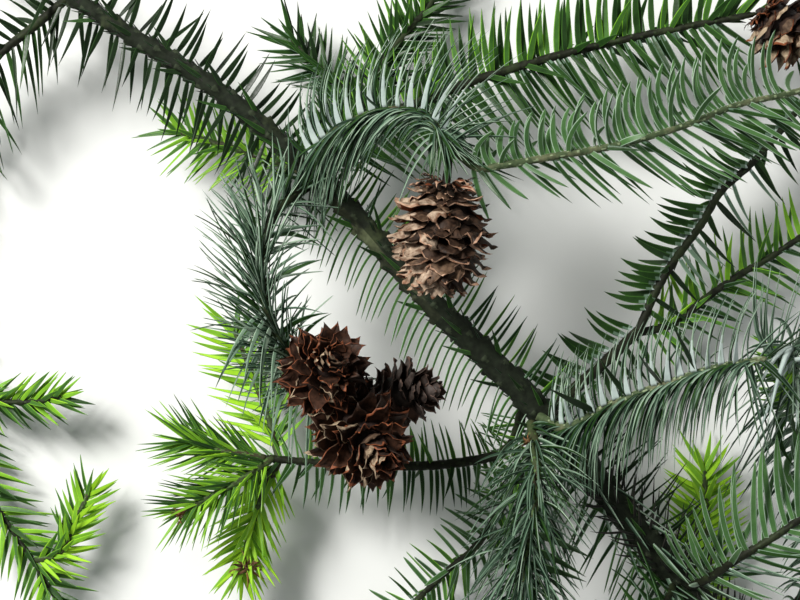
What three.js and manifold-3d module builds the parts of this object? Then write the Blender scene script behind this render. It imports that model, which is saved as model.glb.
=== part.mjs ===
// A cut branch of china fir with its cones, lying flat. Millimetres, +Z up.
// The routes are drawn in the branch's own frame: X to the right and Y up across the branch as
// it is looked down on, Z towards the eye. The group's shift then sets it down on the surface.
import * as THREE from 'three';
import { mergeVertices } from 'three/addons/utils/BufferGeometryUtils.js';
import Module from 'manifold-3d';

const wasm = await Module();
wasm.setup();
const { Manifold } = wasm;

// Clearances and the surface that the branch lies on
const GAP = 0.3;
const NEEDLE_CLEARANCE = 0.2;
const FLOOR = -55;
const BRANCH_SHIFT = new THREE.Vector3(6.6, 7.8, 54.3);
const MERGE_DISTANCE = 0.0001;

// Needles: flat blades, broadest where they bend
const GOLDEN_ANGLE = Math.PI * (3 - Math.sqrt(5));
const NEEDLE_SPACING = 4.4;
const ROW_SPACING = 7.9;
const NEEDLE_WIDTH = 3.8;
const NEEDLE_THICKNESS = 1.0;
const NEEDLE_BEND = 0.42;
const KEEL_WIDTH = Math.sqrt(3);
const KEEL_HEIGHT = 1.5;
const BARE_FOOT = 0.07;
const NEEDLE_PLACE = 0.6;
const STEM_STEP = 13;
const TIP_LEAN = 24;
const TIP_STRETCH = 0.86;
const ANGLE_JITTER = 0.22;
const LENGTH_JITTER = 0.12;
const BLADE_TWIST = [0.35, 0.65];
const STRIP_RADIUS = 1.3;
const STRIP_SPREAD = 0.75;

// Cones: an egg-shaped core with spirals of pointed scales
const CONE_CORE = 0.76;
const CONE_RINGS = 6;
const CONE_SIDES = 9;
const STALK_RADIUS = [1.5, 2.2];
const STALK_SIDES = 6;
const STALK_STEPS = 4;
const STALK_SUNK = 0.15;
const CONE_SCALES = 20;
const SCALE_WIDTH = 0.95;
const SCALE_THICKNESS = 0.34;
const SCALE_FIRST = 0.06;
const SCALE_LAST = 0.92;
const SCALE_ROOT = 0.6;
const SCALE_REACH = { least: 0.3, swell: 0.36 };
const SCALE_LEAN = { base: 80, apex: 32 };
const EGG_POWER = 0.8;

// Where each run of random numbers starts
const SEEDS = { row: 977, cone: 7919, spray: 31, first: 17 };

const FINISHES = {
  bark: { color: 0x3a332b, roughness: 0.9, metalness: 0 },
  dark: { color: 0x24402a, roughness: 0.55, metalness: 0 },
  green: { color: 0x4d7d43, roughness: 0.55, metalness: 0 },
  glaucous: { color: 0x7f9c92, roughness: 0.55, metalness: 0 },
  fresh: { color: 0x8fb92f, roughness: 0.55, metalness: 0 },
  cone: { color: 0x7b5238, roughness: 0.75, metalness: 0 },
};

// Each limb's route and its radius at the root and the tip. A route starts on the centre line of
// what carries the limb, and clearOf cuts it back from that.
const LIMBS = [
  {
    name: 'main_stem',
    route: [
      [158, -166, -48], [136, -140, -36], [116, -118, -26], [84, -80, -10], [49, -38, 0],
      [11, 0, 3], [-26, 41, 1], [-66, 77, -3], [-106, 103, -10], [-152, 133, -20],
    ],
    radius: [6.8, 2.4],
    sides: 9,
    steps: 26,
  },
  {
    name: 'back_bough',
    route: [[50, -43, 1], [61, -38, -9], [77, -25, -16], [93, -11, -23]],
    radius: [2.6, 1.9],
    sides: 7,
    steps: 7,
  },
];

// Rows of needles along the main stem, between its whorls: where each starts and ends as a
// share of the stem's length, and how its needles stand
const ROWS = [
  {
    name: 'butt_needles_below', side: 1, from: 0.045, to: 0.145,
    long: 22, lean: 84, pull: [0, -0.1, 0], finish: 'green',
  },
  {
    name: 'foot_needles_above', side: -1, from: 0.19, to: 0.325,
    long: 21, lean: 78, pull: [0.1, 0.1, 0], finish: 'dark',
  },
  {
    name: 'foot_needles_below', side: 1, from: 0.195, to: 0.325,
    long: 24, lean: 96, pull: [0, -0.1, 0], finish: 'green',
  },
  {
    name: 'middle_needles_above', side: -1, from: 0.395, to: 0.64,
    long: 18, lean: 80, pull: [0, 0.1, 0], finish: 'dark',
  },
  {
    name: 'middle_needles_below', side: 1, from: 0.395, to: 0.64,
    long: 26, lean: 92, pull: [0, -0.15, 0], finish: 'green',
  },
  {
    name: 'leader_needles_above', side: -1, from: 0.7, to: 0.985,
    long: 20, lean: 88, pull: [0, 0, 0], finish: 'dark',
  },
  {
    name: 'leader_needles_below', side: 1, from: 0.7, to: 0.9,
    long: 22, lean: 108, pull: [0, -0.12, 0], finish: 'dark',
  },
];

// Each spray: its stem, then its needles. left and right are the two sides of the
// stem as it grows, seen from above; lean is the needle's angle from the stem, pull bends its
// tip, fill is how the length goes from the spray's foot over its middle to its tip. comb is
// how far the spiral is combed flat, dense how close its needles stand.
const SPRAYS = [
  {
    name: 'arching_spray', finish: 'glaucous', dense: 1.4, comb: 0.72,
    route: [[-35, 47, 2], [-29, 57, 14], [-18, 64, 26], [-3, 68, 33], [10, 65, 37], [18, 52, 38]],
    radius: [2.0, 1.4], fill: [0.8, 1, 0.85],
    left: { long: 23, lean: 84, pull: [0, 0, 0] },
    right: { long: 31, lean: 112, pull: [-0.25, -0.6, 0] },
  },
  {
    name: 'green_spray', finish: 'green', comb: 0.82,
    route: [
      [17, 55, 36], [28, 47, 36], [36, 48, 36], [58, 52, 33], [79, 56, 29], [102, 63, 22],
      [125, 72, 14], [149, 78, 6], [163, 85, 2],
    ],
    radius: [1.5, 1.1], fill: [0.5, 0.95, 0.9],
    left: { long: 21, lean: 84, pull: [0.12, 0, 0] },
    right: { long: 32, lean: 48, pull: [0.1, -0.12, 0] },
  },
  {
    name: 'pale_spray', finish: 'glaucous', dense: 1.15, comb: 0.72,
    route: [
      [51, -43, 2], [61, -47, 14], [77, -38, 24], [94, -31, 30], [111, -25, 32], [132, -21, 30],
    ],
    radius: [2.2, 1.2], fill: [0.9, 1, 0.9],
    left: { long: 23, lean: 72, pull: [0.1, 0, 0] },
    right: { long: 33, lean: 112, pull: [0.3, -0.6, 0] },
  },
  {
    name: 'drooping_spray', finish: 'glaucous', dense: 1.35, comb: 0.6,
    route: [
      [-32, 44, 2], [-39, 39, 10], [-47, 30, 18], [-50, 16, 24], [-49, 0, 24], [-43, -16, 18],
      [-31, -29, 10], [-20, -35, 8],
    ],
    radius: [2.4, 1.4], fill: [0.75, 1, 0.75],
    left: { long: 24, lean: 70, pull: [0, -0.4, 0] },
    right: { long: 31, lean: 74, pull: [-0.05, -0.15, 0] },
  },
  {
    name: 'hanging_spray', finish: 'glaucous', dense: 1.15, comb: 0.7,
    route: [[49, -46, 2], [50, -57, 14], [49, -73, 24], [46, -89, 28], [44, -108, 29], [41, -128, 27]],
    radius: [2.2, 1.1], fill: [0.85, 1, 0.8],
    left: { long: 22, lean: 76, pull: [0, 0.1, 0] },
    right: { long: 27, lean: 62, pull: [0.15, -0.35, 0] },
  },
  {
    name: 'low_spray', finish: 'green', comb: 0.8,
    route: [
      [110, -111, -22], [116, -105, -4], [126, -95, 10], [138, -87, 14], [151, -78, 14],
      [165, -70, 12],
    ],
    radius: [2.2, 1.1], fill: [0.85, 1, 0.8],
    left: { long: 33, lean: 64, pull: [0.05, 0, 0] },
    right: { long: 30, lean: 48, pull: [0, -0.08, 0] },
  },
  {
    name: 'low_left_spray', finish: 'green', comb: 0.75,
    route: [[106, -107, -20], [101, -113, -6], [94, -119, 4], [86, -125, 6]],
    radius: [1.7, 1.0], fill: [0.9, 1, 0.7],
    left: { long: 20, lean: 58, pull: [0, 0, 0] },
    right: { long: 27, lean: 96, pull: [0, 0, 0] },
  },
  {
    name: 'long_spray', finish: 'dark', dense: 0.9, comb: 0.82,
    route: [
      [-33, 48, -1], [-13, 66, -14], [16, 80, -22], [48, 91, -24], [93, 102, -22], [137, 110, -18],
    ],
    radius: [2.4, 1.3], fill: [0.75, 1, 0.85],
    left: { long: 27, lean: 70, pull: [0.08, 0, 0] },
    right: { long: 34, lean: 56, pull: [0.05, -0.1, 0] },
  },
  {
    name: 'dark_spray', finish: 'dark', dense: 0.9, comb: 0.8,
    route: [
      [92, -12, -22], [99, 4, -22], [105, 14, -22], [116, 29, -22], [124, 42, -22], [135, 52, -22],
      [151, 70, -24], [163, 86, -26],
    ],
    radius: [2.0, 1.2], fill: [0.9, 1, 0.8],
    left: { long: 20, lean: 100, pull: [0, 0.05, 0] },
    right: { long: 21, lean: 104, pull: [0.05, -0.05, 0] },
  },
  {
    name: 'middle_spray', finish: 'green', comb: 0.8,
    route: [
      [91, -13, -24], [107, -9, -30], [120, 1, -32], [133, 10, -32], [145, 17, -31], [157, 25, -30],
      [172, 34, -30],
    ],
    radius: [1.9, 1.1], fill: [0.85, 1, 0.8],
    left: { long: 21, lean: 66, pull: [0, 0.05, 0] },
    right: { long: 21, lean: 56, pull: [0, -0.15, 0] },
  },
  {
    name: 'left_spray', finish: 'dark', comb: 0.85,
    route: [[47, -38, -2], [41, -57, -16], [21, -63, -22], [-16, -64, -24], [-53, -61, -22]],
    radius: [2.3, 1.5], fill: [0.9, 1, 0.95],
    left: { long: 16, lean: 84, pull: [0, -0.05, 0] },
    right: { long: 17, lean: 80, pull: [0, 0.05, 0] },
  },
  {
    name: 'under_spray', finish: 'dark', dense: 0.9, comb: 0.7,
    route: [
      [52, -48, -3], [45, -70, -24], [30, -96, -33], [19, -106, -36], [8, -117, -39],
      [-6, -131, -42],
    ],
    radius: [2.1, 1.1], fill: [0.8, 1, 0.8],
    left: { long: 20, lean: 56, pull: [0, 0, 0] },
    right: { long: 17, lean: 70, pull: [0, 0, 0] },
  },
  {
    name: 'far_spray', finish: 'dark', comb: 0.7,
    route: [[-30, 43, -2], [-15, 73, -22], [-6, 94, -32], [1, 103, -35], [12, 117, -39], [20, 134, -42]],
    radius: [2.0, 1.1], fill: [0.7, 1, 0.85],
    left: { long: 18, lean: 62, pull: [0, 0, 0] },
    right: { long: 18, lean: 58, pull: [0, 0, 0] },
  },
  {
    name: 'back_spray', finish: 'dark', comb: 0.6,
    route: [[-37, 50, -2], [-25, 66, -18], [-23, 82, -28], [-35, 94, -34], [-43, 103, -36]],
    radius: [1.8, 1.0], fill: [0.8, 1, 0.9],
    left: { long: 19, lean: 54, pull: [0, 0, 0] },
    right: { long: 19, lean: 54, pull: [0, 0, 0] },
  },
  {
    name: 'fresh_spray_left', finish: 'fresh', comb: 0.8,
    route: [[-37, 48, 0], [-51, 54, -16], [-62, 58, -24], [-75, 62, -28], [-88, 66, -30]],
    radius: [1.8, 1.0], fill: [0.8, 1, 0.9],
    left: { long: 18, lean: 60, pull: [0, -0.1, 0] },
    right: { long: 16, lean: 60, pull: [0, 0, 0] },
  },
  {
    name: 'fresh_spray_right', finish: 'fresh', comb: 0.8,
    route: [[115, -117, -26], [120, -107, -39], [122, -91, -44], [121, -67, -46]],
    radius: [1.7, 1.0], fill: [0.8, 1, 0.9],
    left: { long: 19, lean: 58, pull: [0, 0, 0] },
    right: { long: 17, lean: 58, pull: [0, 0, 0] },
  },
  {
    name: 'facing_spray', finish: 'glaucous', dense: 0.85, comb: 0.15,
    route: [
      [135, -139, -36], [155, -121, -36], [164, -93, -31], [158, -61, -22], [152, -38, -10],
      [147, -24, 6], [144, -17, 18],
    ],
    radius: [2.3, 1.2], fill: [0.6, 0.8, 1.15],
    left: { long: 22, lean: 66, pull: [-0.1, -0.1, 0] },
    right: { long: 22, lean: 66, pull: [0.05, -0.1, 0] },
  },
  {
    name: 'shoot_left', finish: 'green', comb: 0.6,
    route: [[-52, -61, -22], [-61, -59, -21], [-69, -58, -20], [-82, -54, -20]],
    radius: [1.4, 1.0], fill: [0.8, 1, 1],
    left: { long: 18, lean: 46, pull: [0, 0, 0] },
    right: { long: 18, lean: 46, pull: [0, 0, 0] },
  },
  {
    name: 'shoot_low_left', finish: 'green', comb: 0.6,
    route: [[-49, -61, -22], [-58, -67, -15], [-65, -71, -12], [-82, -80, -8]],
    radius: [1.4, 1.0], fill: [0.8, 1, 0.9],
    left: { long: 17, lean: 50, pull: [0, 0, 0] },
    right: { long: 19, lean: 50, pull: [0, 0, 0] },
  },
  {
    name: 'shoot_down', finish: 'fresh', comb: 0.5,
    route: [[-46, -61, -23], [-53, -75, -28], [-58, -89, -30], [-62, -107, -30]],
    radius: [1.5, 1.1], fill: [0.8, 1, 0.8],
    left: { long: 19, lean: 52, pull: [0, 0, 0] },
    right: { long: 19, lean: 52, pull: [0, 0, 0] },
  },
  {
    name: 'shoot_up', finish: 'fresh', comb: 0.7,
    route: [[-47, -61, -23], [-51, -47, -28], [-57, -31, -32], [-65, -12, -34]],
    radius: [1.5, 1.0], fill: [0.9, 1, 0.9],
    left: { long: 20, lean: 58, pull: [-0.05, 0, 0] },
    right: { long: 16, lean: 52, pull: [0, 0, 0] },
  },
  {
    name: 'corner_spray', finish: 'dark', dense: 0.9, comb: 0.75,
    route: [[-126, 116, -14], [-141, 105, -19], [-158, 92, -24], [-172, 73, -30], [-179, 50, -35]],
    radius: [2.0, 1.6], fill: [0.8, 1, 1],
    left: { long: 25, lean: 66, pull: [0, -0.25, 0] },
    right: { long: 18, lean: 70, pull: [0, 0, 0] },
  },
  {
    name: 'side_spray', finish: 'dark', dense: 0.75, comb: 0.75,
    route: [[-179, 50, -35], [-184, 20, -40], [-183, -11, -43], [-177, -36, -43]],
    radius: [1.6, 1.4], fill: [0.9, 1, 1],
    left: { long: 19, lean: 62, pull: [0, 0, 0] },
    right: { long: 18, lean: 62, pull: [0, 0, 0] },
  },
  {
    name: 'drop_spray', finish: 'dark', dense: 0.75, comb: 0.7,
    route: [[-177, -36, -43], [-170, -58, -42], [-161, -79, -41], [-144, -104, -39], [-134, -120, -38]],
    radius: [1.4, 1.0], fill: [0.9, 1, 0.9],
    left: { long: 20, lean: 56, pull: [0, 0, 0] },
    right: { long: 19, lean: 56, pull: [0, 0, 0] },
  },
  {
    name: 'reach_spray', finish: 'green', dense: 0.8, comb: 0.7,
    route: [[-180, -27, -43], [-166, -38, -39], [-146, -40, -35], [-132, -38, -32]],
    radius: [1.3, 1.0], fill: [0.7, 1, 0.9],
    left: { long: 15, lean: 52, pull: [0, 0, 0] },
    right: { long: 15, lean: 52, pull: [0, 0, 0] },
  },
  {
    name: 'fresh_shoot_far', finish: 'fresh', comb: 0.7,
    route: [[-145, -103, -39], [-133, -99, -36], [-127, -86, -35], [-122, -75, -36]],
    radius: [1.2, 0.9], fill: [0.8, 1, 0.9],
    left: { long: 15, lean: 52, pull: [0, 0, 0] },
    right: { long: 15, lean: 52, pull: [0, 0, 0] },
  },
  {
    name: 'leader_tip', finish: 'dark', comb: 0.4,
    route: [[-151, 132, -20], [-160, 138, -21], [-170, 143, -20]],
    radius: [2.0, 1.3], fill: [1, 1, 1],
    left: { long: 18, lean: 58, pull: [0, 0, 0] },
    right: { long: 18, lean: 58, pull: [0, 0, 0] },
  },
];

// Each cone: its radius over the scales, where its stalk starts, its base and its apex
const CONES = [
  {
    name: 'cone_single', radius: 18.5,
    stalk: [18, 52, 38], base: [16.5, 43, 38], apex: [13, 2, 34],
  },
  {
    name: 'cone_left', radius: 15.5,
    stalk: [-30, -30, 10], base: [-32, -33, 18], apex: [-22, -19, 53],
  },
  {
    name: 'cone_low', radius: 17.5,
    stalk: [-23, -34, 9], base: [-21, -41, 14], apex: [-6, -57, 49],
  },
  {
    name: 'cone_right', radius: 12,
    stalk: [-20, -35, 8], base: [-12, -36, 9], apex: [14, -33, 18],
  },
  {
    name: 'cone_far', radius: 15,
    stalk: [137, 110, -18], base: [139, 111, -18], apex: [155, 97, -18],
  },
];

// A repeatable run of numbers from 0 to 1, one for each node
function makeRandom(seed) {
  let state = seed >>> 0;
  return () => {
    state = (state + 0x6d2b79f5) >>> 0;
    let value = Math.imul(state ^ (state >>> 15), 1 | state);
    value = (value + Math.imul(value ^ (value >>> 7), 61 | value)) ^ value;
    return ((value ^ (value >>> 14)) >>> 0) / 4294967296;
  };
}

const vector = (point) => new THREE.Vector3(...point);
const mix = THREE.MathUtils.lerp;
const radians = THREE.MathUtils.degToRad;

function curveThrough(route) {
  return new THREE.CatmullRomCurve3(route.map(vector), false, 'centripetal');
}

// The closed surface of a geometry as a solid that can be joined and cut
function solidOf(geometry) {
  geometry.deleteAttribute('normal');
  geometry.deleteAttribute('uv');
  const merged = mergeVertices(geometry, MERGE_DISTANCE);
  return new Manifold(new wasm.Mesh({
    numProp: 3,
    vertProperties: merged.attributes.position.array,
    triVerts: merged.index.array,
  }));
}

function geometryOf(solid) {
  const mesh = solid.getMesh();
  const geometry = new THREE.BufferGeometry();
  geometry.setAttribute('position', new THREE.BufferAttribute(mesh.vertProperties, 3));
  geometry.setIndex(new THREE.BufferAttribute(mesh.triVerts, 1));
  geometry.computeVertexNormals();
  return geometry;
}

// A tapering rod along a curve, closed at both ends: a cylinder whose rings are set on the curve.
// extra fattens it and lengthens it at both ends.
function rod(curve, radius, sides, steps, extra = 0) {
  const frames = curve.computeFrenetFrames(steps, false);
  return reshaped(new THREE.CylinderGeometry(1, 1, 1, sides, steps), (x, y, z) => {
    const row = Math.round((y + 0.5) * steps);
    const thick = mix(radius[0], radius[1], row / steps) + extra;
    const beyond = ((row === steps) - (row === 0)) * extra;
    return curve.getPointAt(row / steps)
      .addScaledVector(frames.tangents[row], beyond)
      .addScaledVector(frames.normals[row], x * thick)
      .addScaledVector(frames.binormals[row], -z * thick);
  });
}

// Moves each corner of a geometry to where place(x, y, z) says
function reshaped(geometry, place) {
  const corners = geometry.attributes.position;
  for (let i = 0; i < corners.count; i += 1) {
    const point = place(corners.getX(i), corners.getY(i), corners.getZ(i));
    corners.setXYZ(i, point.x, point.y, point.z);
  }
  return solidOf(geometry);
}

// A needle: an octahedron drawn out from its root over the bend to its tip. extra fattens it,
// for testing what it would touch.
function needleBlade({ root, middle, tip, across, width, thickness }, extra = 0) {
  const along = tip.clone().sub(root).normalize();
  const up = new THREE.Vector3().crossVectors(across, along).normalize();
  return reshaped(new THREE.OctahedronGeometry(1), (x, y, z) => {
    if (y > 0.5) {
      return tip.clone().addScaledVector(along, extra);
    }
    if (y < -0.5) {
      return root.clone();
    }
    const point = middle.clone().addScaledVector(across, x * (width / 2 + extra));
    return point.addScaledVector(up, z * (thickness / 2 + extra));
  });
}

// A cone scale: a keeled tooth of three sides whose broad foot is sunk in the core
function scaleBlade({ root, tip, across, width, thickness }, extra = 0) {
  const along = tip.clone().sub(root).normalize();
  const up = new THREE.Vector3().crossVectors(across, along).normalize();
  return reshaped(new THREE.ConeGeometry(1, 1, 3, 1), (x, y, z) => {
    if (y > 0) {
      return tip.clone().addScaledVector(along, extra);
    }
    const point = root.clone().addScaledVector(across, x * (width / KEEL_WIDTH + extra));
    return point.addScaledVector(up, z * (thickness / KEEL_HEIGHT + extra));
  });
}

// What stands in the way of a needle: every solid that is already there
const placed = [];

function remember(node, solid) {
  placed.push({ node, solid, box: solid.boundingBox() });
}

function boxesMeet(a, b) {
  return [0, 1, 2].every((k) => a.min[k] <= b.max[k] && b.min[k] <= a.max[k]);
}

function isClear(node, trial) {
  const box = trial.boundingBox();
  const near = placed.filter((other) => other.node !== node && boxesMeet(box, other.box));
  return near.every((other) => trial.intersect(other.solid).isEmpty());
}

// A body with each blade that would touch nothing of another node fused on
function withBlades(node, body, shapes, blade) {
  const pieces = [body];
  for (const shape of shapes) {
    const trial = blade(shape, NEEDLE_CLEARANCE);
    if (isClear(node, trial)) {
      const solid = blade(shape);
      remember(node, solid);
      pieces.push(solid);
    }
    trial.delete();
  }
  return largest(Manifold.union(pieces));
}

// The needle's three points, kept above the surface that the branch lies on
function needleShape(root, direction, pull, long, facing) {
  const bent = (share) => {
    const point = root.clone().addScaledVector(direction, long * share);
    point.addScaledVector(pull, long * share * share);
    point.z = Math.max(point.z, FLOOR + NEEDLE_THICKNESS);
    return point;
  };
  const middle = bent(NEEDLE_BEND);
  const tip = bent(1);
  const across = new THREE.Vector3().crossVectors(tip.clone().sub(root), facing).normalize();
  return { root, middle, tip, across, width: NEEDLE_WIDTH, thickness: NEEDLE_THICKNESS };
}

// Lengths run from the foot over the middle to the tip of a spray
function fillAt(fill, share) {
  return share < 0.5 ? mix(fill[0], fill[1], share * 2) : mix(fill[1], fill[2], share * 2 - 1);
}

// The side and top directions of a stem at one share of its length
function stemFrame(curve, share) {
  const along = curve.getTangentAt(share);
  const side = new THREE.Vector3().crossVectors(along, new THREE.Vector3(0, 0, 1)).normalize();
  const top = new THREE.Vector3().crossVectors(side, along).normalize();
  return { along, side, top };
}

// A direction turned by an angle towards another that stands across it
function turned(from, to, angle) {
  return from.clone().multiplyScalar(Math.cos(angle)).addScaledVector(to, Math.sin(angle));
}

// A factor a little over or under 1
function jittered(random) {
  return 1 + (random() - 0.5) * 2 * LENGTH_JITTER;
}

// Needles in a spiral round the stem, combed towards its two sides
function sprayNeedles(spray, curve, random) {
  const { left, right, fill, comb, dense = 1 } = spray;
  const count = Math.round(curve.getLength() * (1 - BARE_FOOT) * dense / NEEDLE_SPACING);
  const shapes = [];
  for (let i = 0; i < count; i += 1) {
    const share = BARE_FOOT + (1 - BARE_FOOT) * (i + NEEDLE_PLACE) / count;
    const { along, side, top } = stemFrame(curve, share);
    const turn = i * GOLDEN_ANGLE + (random() - 0.5) * ANGLE_JITTER;
    const angle = turn - 0.5 * comb * Math.sin(2 * turn);
    const rightness = 0.5 + 0.5 * Math.cos(angle);
    const tipness = Math.max(0, (share - TIP_STRETCH) / (1 - TIP_STRETCH));
    const lean = radians(mix(mix(left.lean, right.lean, rightness), TIP_LEAN, tipness));
    const pull = vector(left.pull).lerp(vector(right.pull), rightness);
    const long = mix(left.long, right.long, rightness) * fillAt(fill, share) * jittered(random);
    const direction = turned(along, turned(side, top, angle), lean);
    const facing = top.clone().addScaledVector(along, mix(BLADE_TWIST[0], BLADE_TWIST[1], random()));
    shapes.push(needleShape(curve.getPointAt(share), direction, pull, long, facing));
  }
  return shapes;
}

// A strip of needle feet that runs along one side of the main stem, and its needles
function buildRow(row, stems) {
  const stem = stems.main_stem;
  const random = makeRandom(row.name.length * SEEDS.row + row.side);
  const offset = (share) => mix(stem.radius[0], stem.radius[1], share) + STRIP_RADIUS;
  const count = Math.round(stem.curve.getLength() * (row.to - row.from) / ROW_SPACING);
  const route = [];
  for (let i = 0; i <= count; i += 1) {
    const share = mix(row.from, row.to, i / count);
    const { side } = stemFrame(stem.curve, share);
    const point = stem.curve.getPointAt(share).addScaledVector(side, -row.side * offset(share));
    route.push(point.toArray());
  }
  const curve = curveThrough(route);
  const strip = clearOf(rod(curve, [STRIP_RADIUS, STRIP_RADIUS], 3, count), stems);
  const shapes = [];
  for (let i = 0; i < count; i += 1) {
    const share = (i + 0.5) / count;
    const { along, side, top } = stemFrame(curve, share);
    const angle = STRIP_SPREAD * Math.sin(i * GOLDEN_ANGLE) + (random() - 0.5) * ANGLE_JITTER;
    const outward = turned(side.multiplyScalar(-row.side), top, angle);
    const direction = turned(along, outward, radians(row.lean));
    const long = row.long * jittered(random);
    const facing = top.clone().addScaledVector(along, BLADE_TWIST[0] * random());
    shapes.push(needleShape(curve.getPointAt(share), direction, vector(row.pull), long, facing));
  }
  return { strip, shapes };
}

// The egg-shaped core of a cone, about +Y from its base, widest below its middle
function coneCore(long, radius) {
  const profile = [new THREE.Vector2(0, 0)];
  for (let i = 1; i < CONE_RINGS; i += 1) {
    const share = i / CONE_RINGS;
    const swell = Math.sin(Math.PI * share ** EGG_POWER) * CONE_CORE * radius;
    profile.push(new THREE.Vector2(swell, share * long));
  }
  profile.push(new THREE.Vector2(0, long));
  return new THREE.LatheGeometry(profile, CONE_SIDES);
}

// Scales in a spiral from the base to the apex, each leaning out and towards the apex
function coneScales(cone, base, axis, long) {
  const random = makeRandom(cone.name.length * SEEDS.cone);
  const start = new THREE.Vector3(0, 0, 1).cross(axis).normalize();
  const shapes = [];
  for (let i = 0; i < CONE_SCALES; i += 1) {
    const share = mix(SCALE_FIRST, SCALE_LAST, i / CONE_SCALES);
    const swell = Math.sin(Math.PI * share ** EGG_POWER);
    const outward = start.clone().applyAxisAngle(axis, i * GOLDEN_ANGLE);
    const lean = radians(mix(SCALE_LEAN.base, SCALE_LEAN.apex, share));
    const direction = turned(axis, outward, lean);
    const root = base.clone().addScaledVector(axis, share * long);
    root.addScaledVector(outward, SCALE_ROOT * CONE_CORE * cone.radius * swell);
    const reach = cone.radius * (SCALE_REACH.least + SCALE_REACH.swell * swell) * jittered(random);
    const tip = root.clone().addScaledVector(direction, reach);
    const across = new THREE.Vector3().crossVectors(direction, outward).normalize();
    const width = cone.radius * SCALE_WIDTH;
    const thickness = cone.radius * SCALE_THICKNESS;
    shapes.push({ root, tip, across, width, thickness });
  }
  return shapes;
}

function buildCone(cone, stems) {
  const base = vector(cone.base);
  const axis = vector(cone.apex).sub(base);
  const long = axis.length();
  axis.normalize();
  const core = coneCore(long, cone.radius);
  core.applyQuaternion(new THREE.Quaternion().setFromUnitVectors(new THREE.Vector3(0, 1, 0), axis));
  core.translate(base.x, base.y, base.z);
  const foot = base.clone().addScaledVector(axis, long * STALK_SUNK);
  const route = curveThrough([cone.stalk, cone.base, foot.toArray()]);
  const stalk = rod(route, STALK_RADIUS, STALK_SIDES, STALK_STEPS);
  const body = clearOf(solidOf(core).add(stalk), stems);
  return { body, shapes: coneScales(cone, base, axis, long) };
}

// The outer skin of the largest piece: crumbs beside it are dropped and hollows in it filled
function largest(solid) {
  const pieces = solid.decompose();
  return pieces.reduce((best, piece) => (piece.volume() > best.volume() ? piece : best));
}

// A body cut clear of the stems that are there already
function clearOf(body, stems) {
  return largest(Object.values(stems).reduce((rest, stem) => rest.subtract(stem.fat), body));
}

// A limb's or a spray's stem, cut clear of what carries it and of its neighbours there
function buildStem(item, stems) {
  const curve = curveThrough(item.route);
  const sides = item.sides ?? 3;
  const steps = item.steps ?? Math.max(4, Math.round(curve.getLength() / STEM_STEP));
  const body = clearOf(rod(curve, item.radius, sides, steps), stems);
  const fat = rod(curve, item.radius, sides, steps, GAP / Math.cos(Math.PI / sides));
  stems[item.name] = { curve, radius: item.radius, body, fat };
  remember(item.name, stems[item.name].body);
}

function mesh(name, solid, finish) {
  const material = new THREE.MeshStandardMaterial(FINISHES[finish]);
  const part = new THREE.Mesh(geometryOf(solid), material);
  part.name = name;
  return part;
}

function buildBranch() {
  const branch = new THREE.Group();
  const stems = {};
  for (const item of [...LIMBS, ...SPRAYS]) {
    buildStem(item, stems);
  }
  for (const limb of LIMBS) {
    branch.add(mesh(limb.name, stems[limb.name].body, 'bark'));
  }
  const cones = CONES.map((cone) => ({ name: cone.name, ...buildCone(cone, stems) }));
  cones.forEach((cone) => remember(cone.name, cone.body));
  const rows = ROWS.map((row) => ({ ...row, ...buildRow(row, stems) }));
  rows.forEach((row) => remember(row.name, row.strip));

  for (const cone of cones) {
    const solid = withBlades(cone.name, cone.body, cone.shapes, scaleBlade);
    branch.add(mesh(cone.name, solid, 'cone'));
  }
  for (const row of rows) {
    const solid = withBlades(row.name, row.strip, row.shapes, needleBlade);
    branch.add(mesh(row.name, solid, row.finish));
  }
  SPRAYS.forEach((spray, index) => {
    const stem = stems[spray.name];
    const shapes = sprayNeedles(spray, stem.curve, makeRandom(index * SEEDS.spray + SEEDS.first));
    const solid = withBlades(spray.name, stem.body, shapes, needleBlade);
    branch.add(mesh(spray.name, solid, spray.finish));
  });
  branch.position.copy(BRANCH_SHIFT);
  return branch;
}

export default buildBranch();
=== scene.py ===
"""A cut branch of china fir with its cones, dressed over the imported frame. +Z up.

Lengths are metres, and those in the tables of limbs, sprays, rows, cones and buds millimetres.

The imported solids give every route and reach. Here the same growing rule is written again and carried
finer: each twig gets its ribbed skin, each spray its full coat of leaves, each cone its thin scales.
"""

import logging
import math
from collections.abc import Sequence
from dataclasses import dataclass, field
from enum import Enum, IntEnum
from typing import Union

import bpy
import numpy as np
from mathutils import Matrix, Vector


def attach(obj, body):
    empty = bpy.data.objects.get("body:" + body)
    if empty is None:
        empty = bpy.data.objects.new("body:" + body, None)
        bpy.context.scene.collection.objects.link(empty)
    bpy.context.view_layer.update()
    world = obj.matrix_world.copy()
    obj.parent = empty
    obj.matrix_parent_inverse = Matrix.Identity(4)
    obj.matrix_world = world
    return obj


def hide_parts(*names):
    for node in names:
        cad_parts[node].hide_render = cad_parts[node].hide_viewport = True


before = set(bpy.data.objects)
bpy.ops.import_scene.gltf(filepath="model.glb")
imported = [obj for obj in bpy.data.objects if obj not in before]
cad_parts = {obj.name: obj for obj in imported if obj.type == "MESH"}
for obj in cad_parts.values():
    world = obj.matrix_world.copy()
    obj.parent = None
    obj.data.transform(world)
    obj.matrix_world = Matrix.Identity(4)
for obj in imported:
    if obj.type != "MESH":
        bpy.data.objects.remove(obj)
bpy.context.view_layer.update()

Point = tuple[float, float, float]
Colour = tuple[float, float, float]
Pair = tuple[float, float]
Series = tuple[float, ...]
Number = Union["Value", float]
Material = bpy.types.Material
Piece = bpy.types.Object
Array = np.ndarray
Amount = Union[float, Array]
Random = np.random.Generator

# Arrays of faces of one size each, with the material slot of each face, and what they join
Faces = list[tuple[Array, Array]]
Shape = tuple[Array, Faces]

log = logging.getLogger("china_fir_branch")

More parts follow.
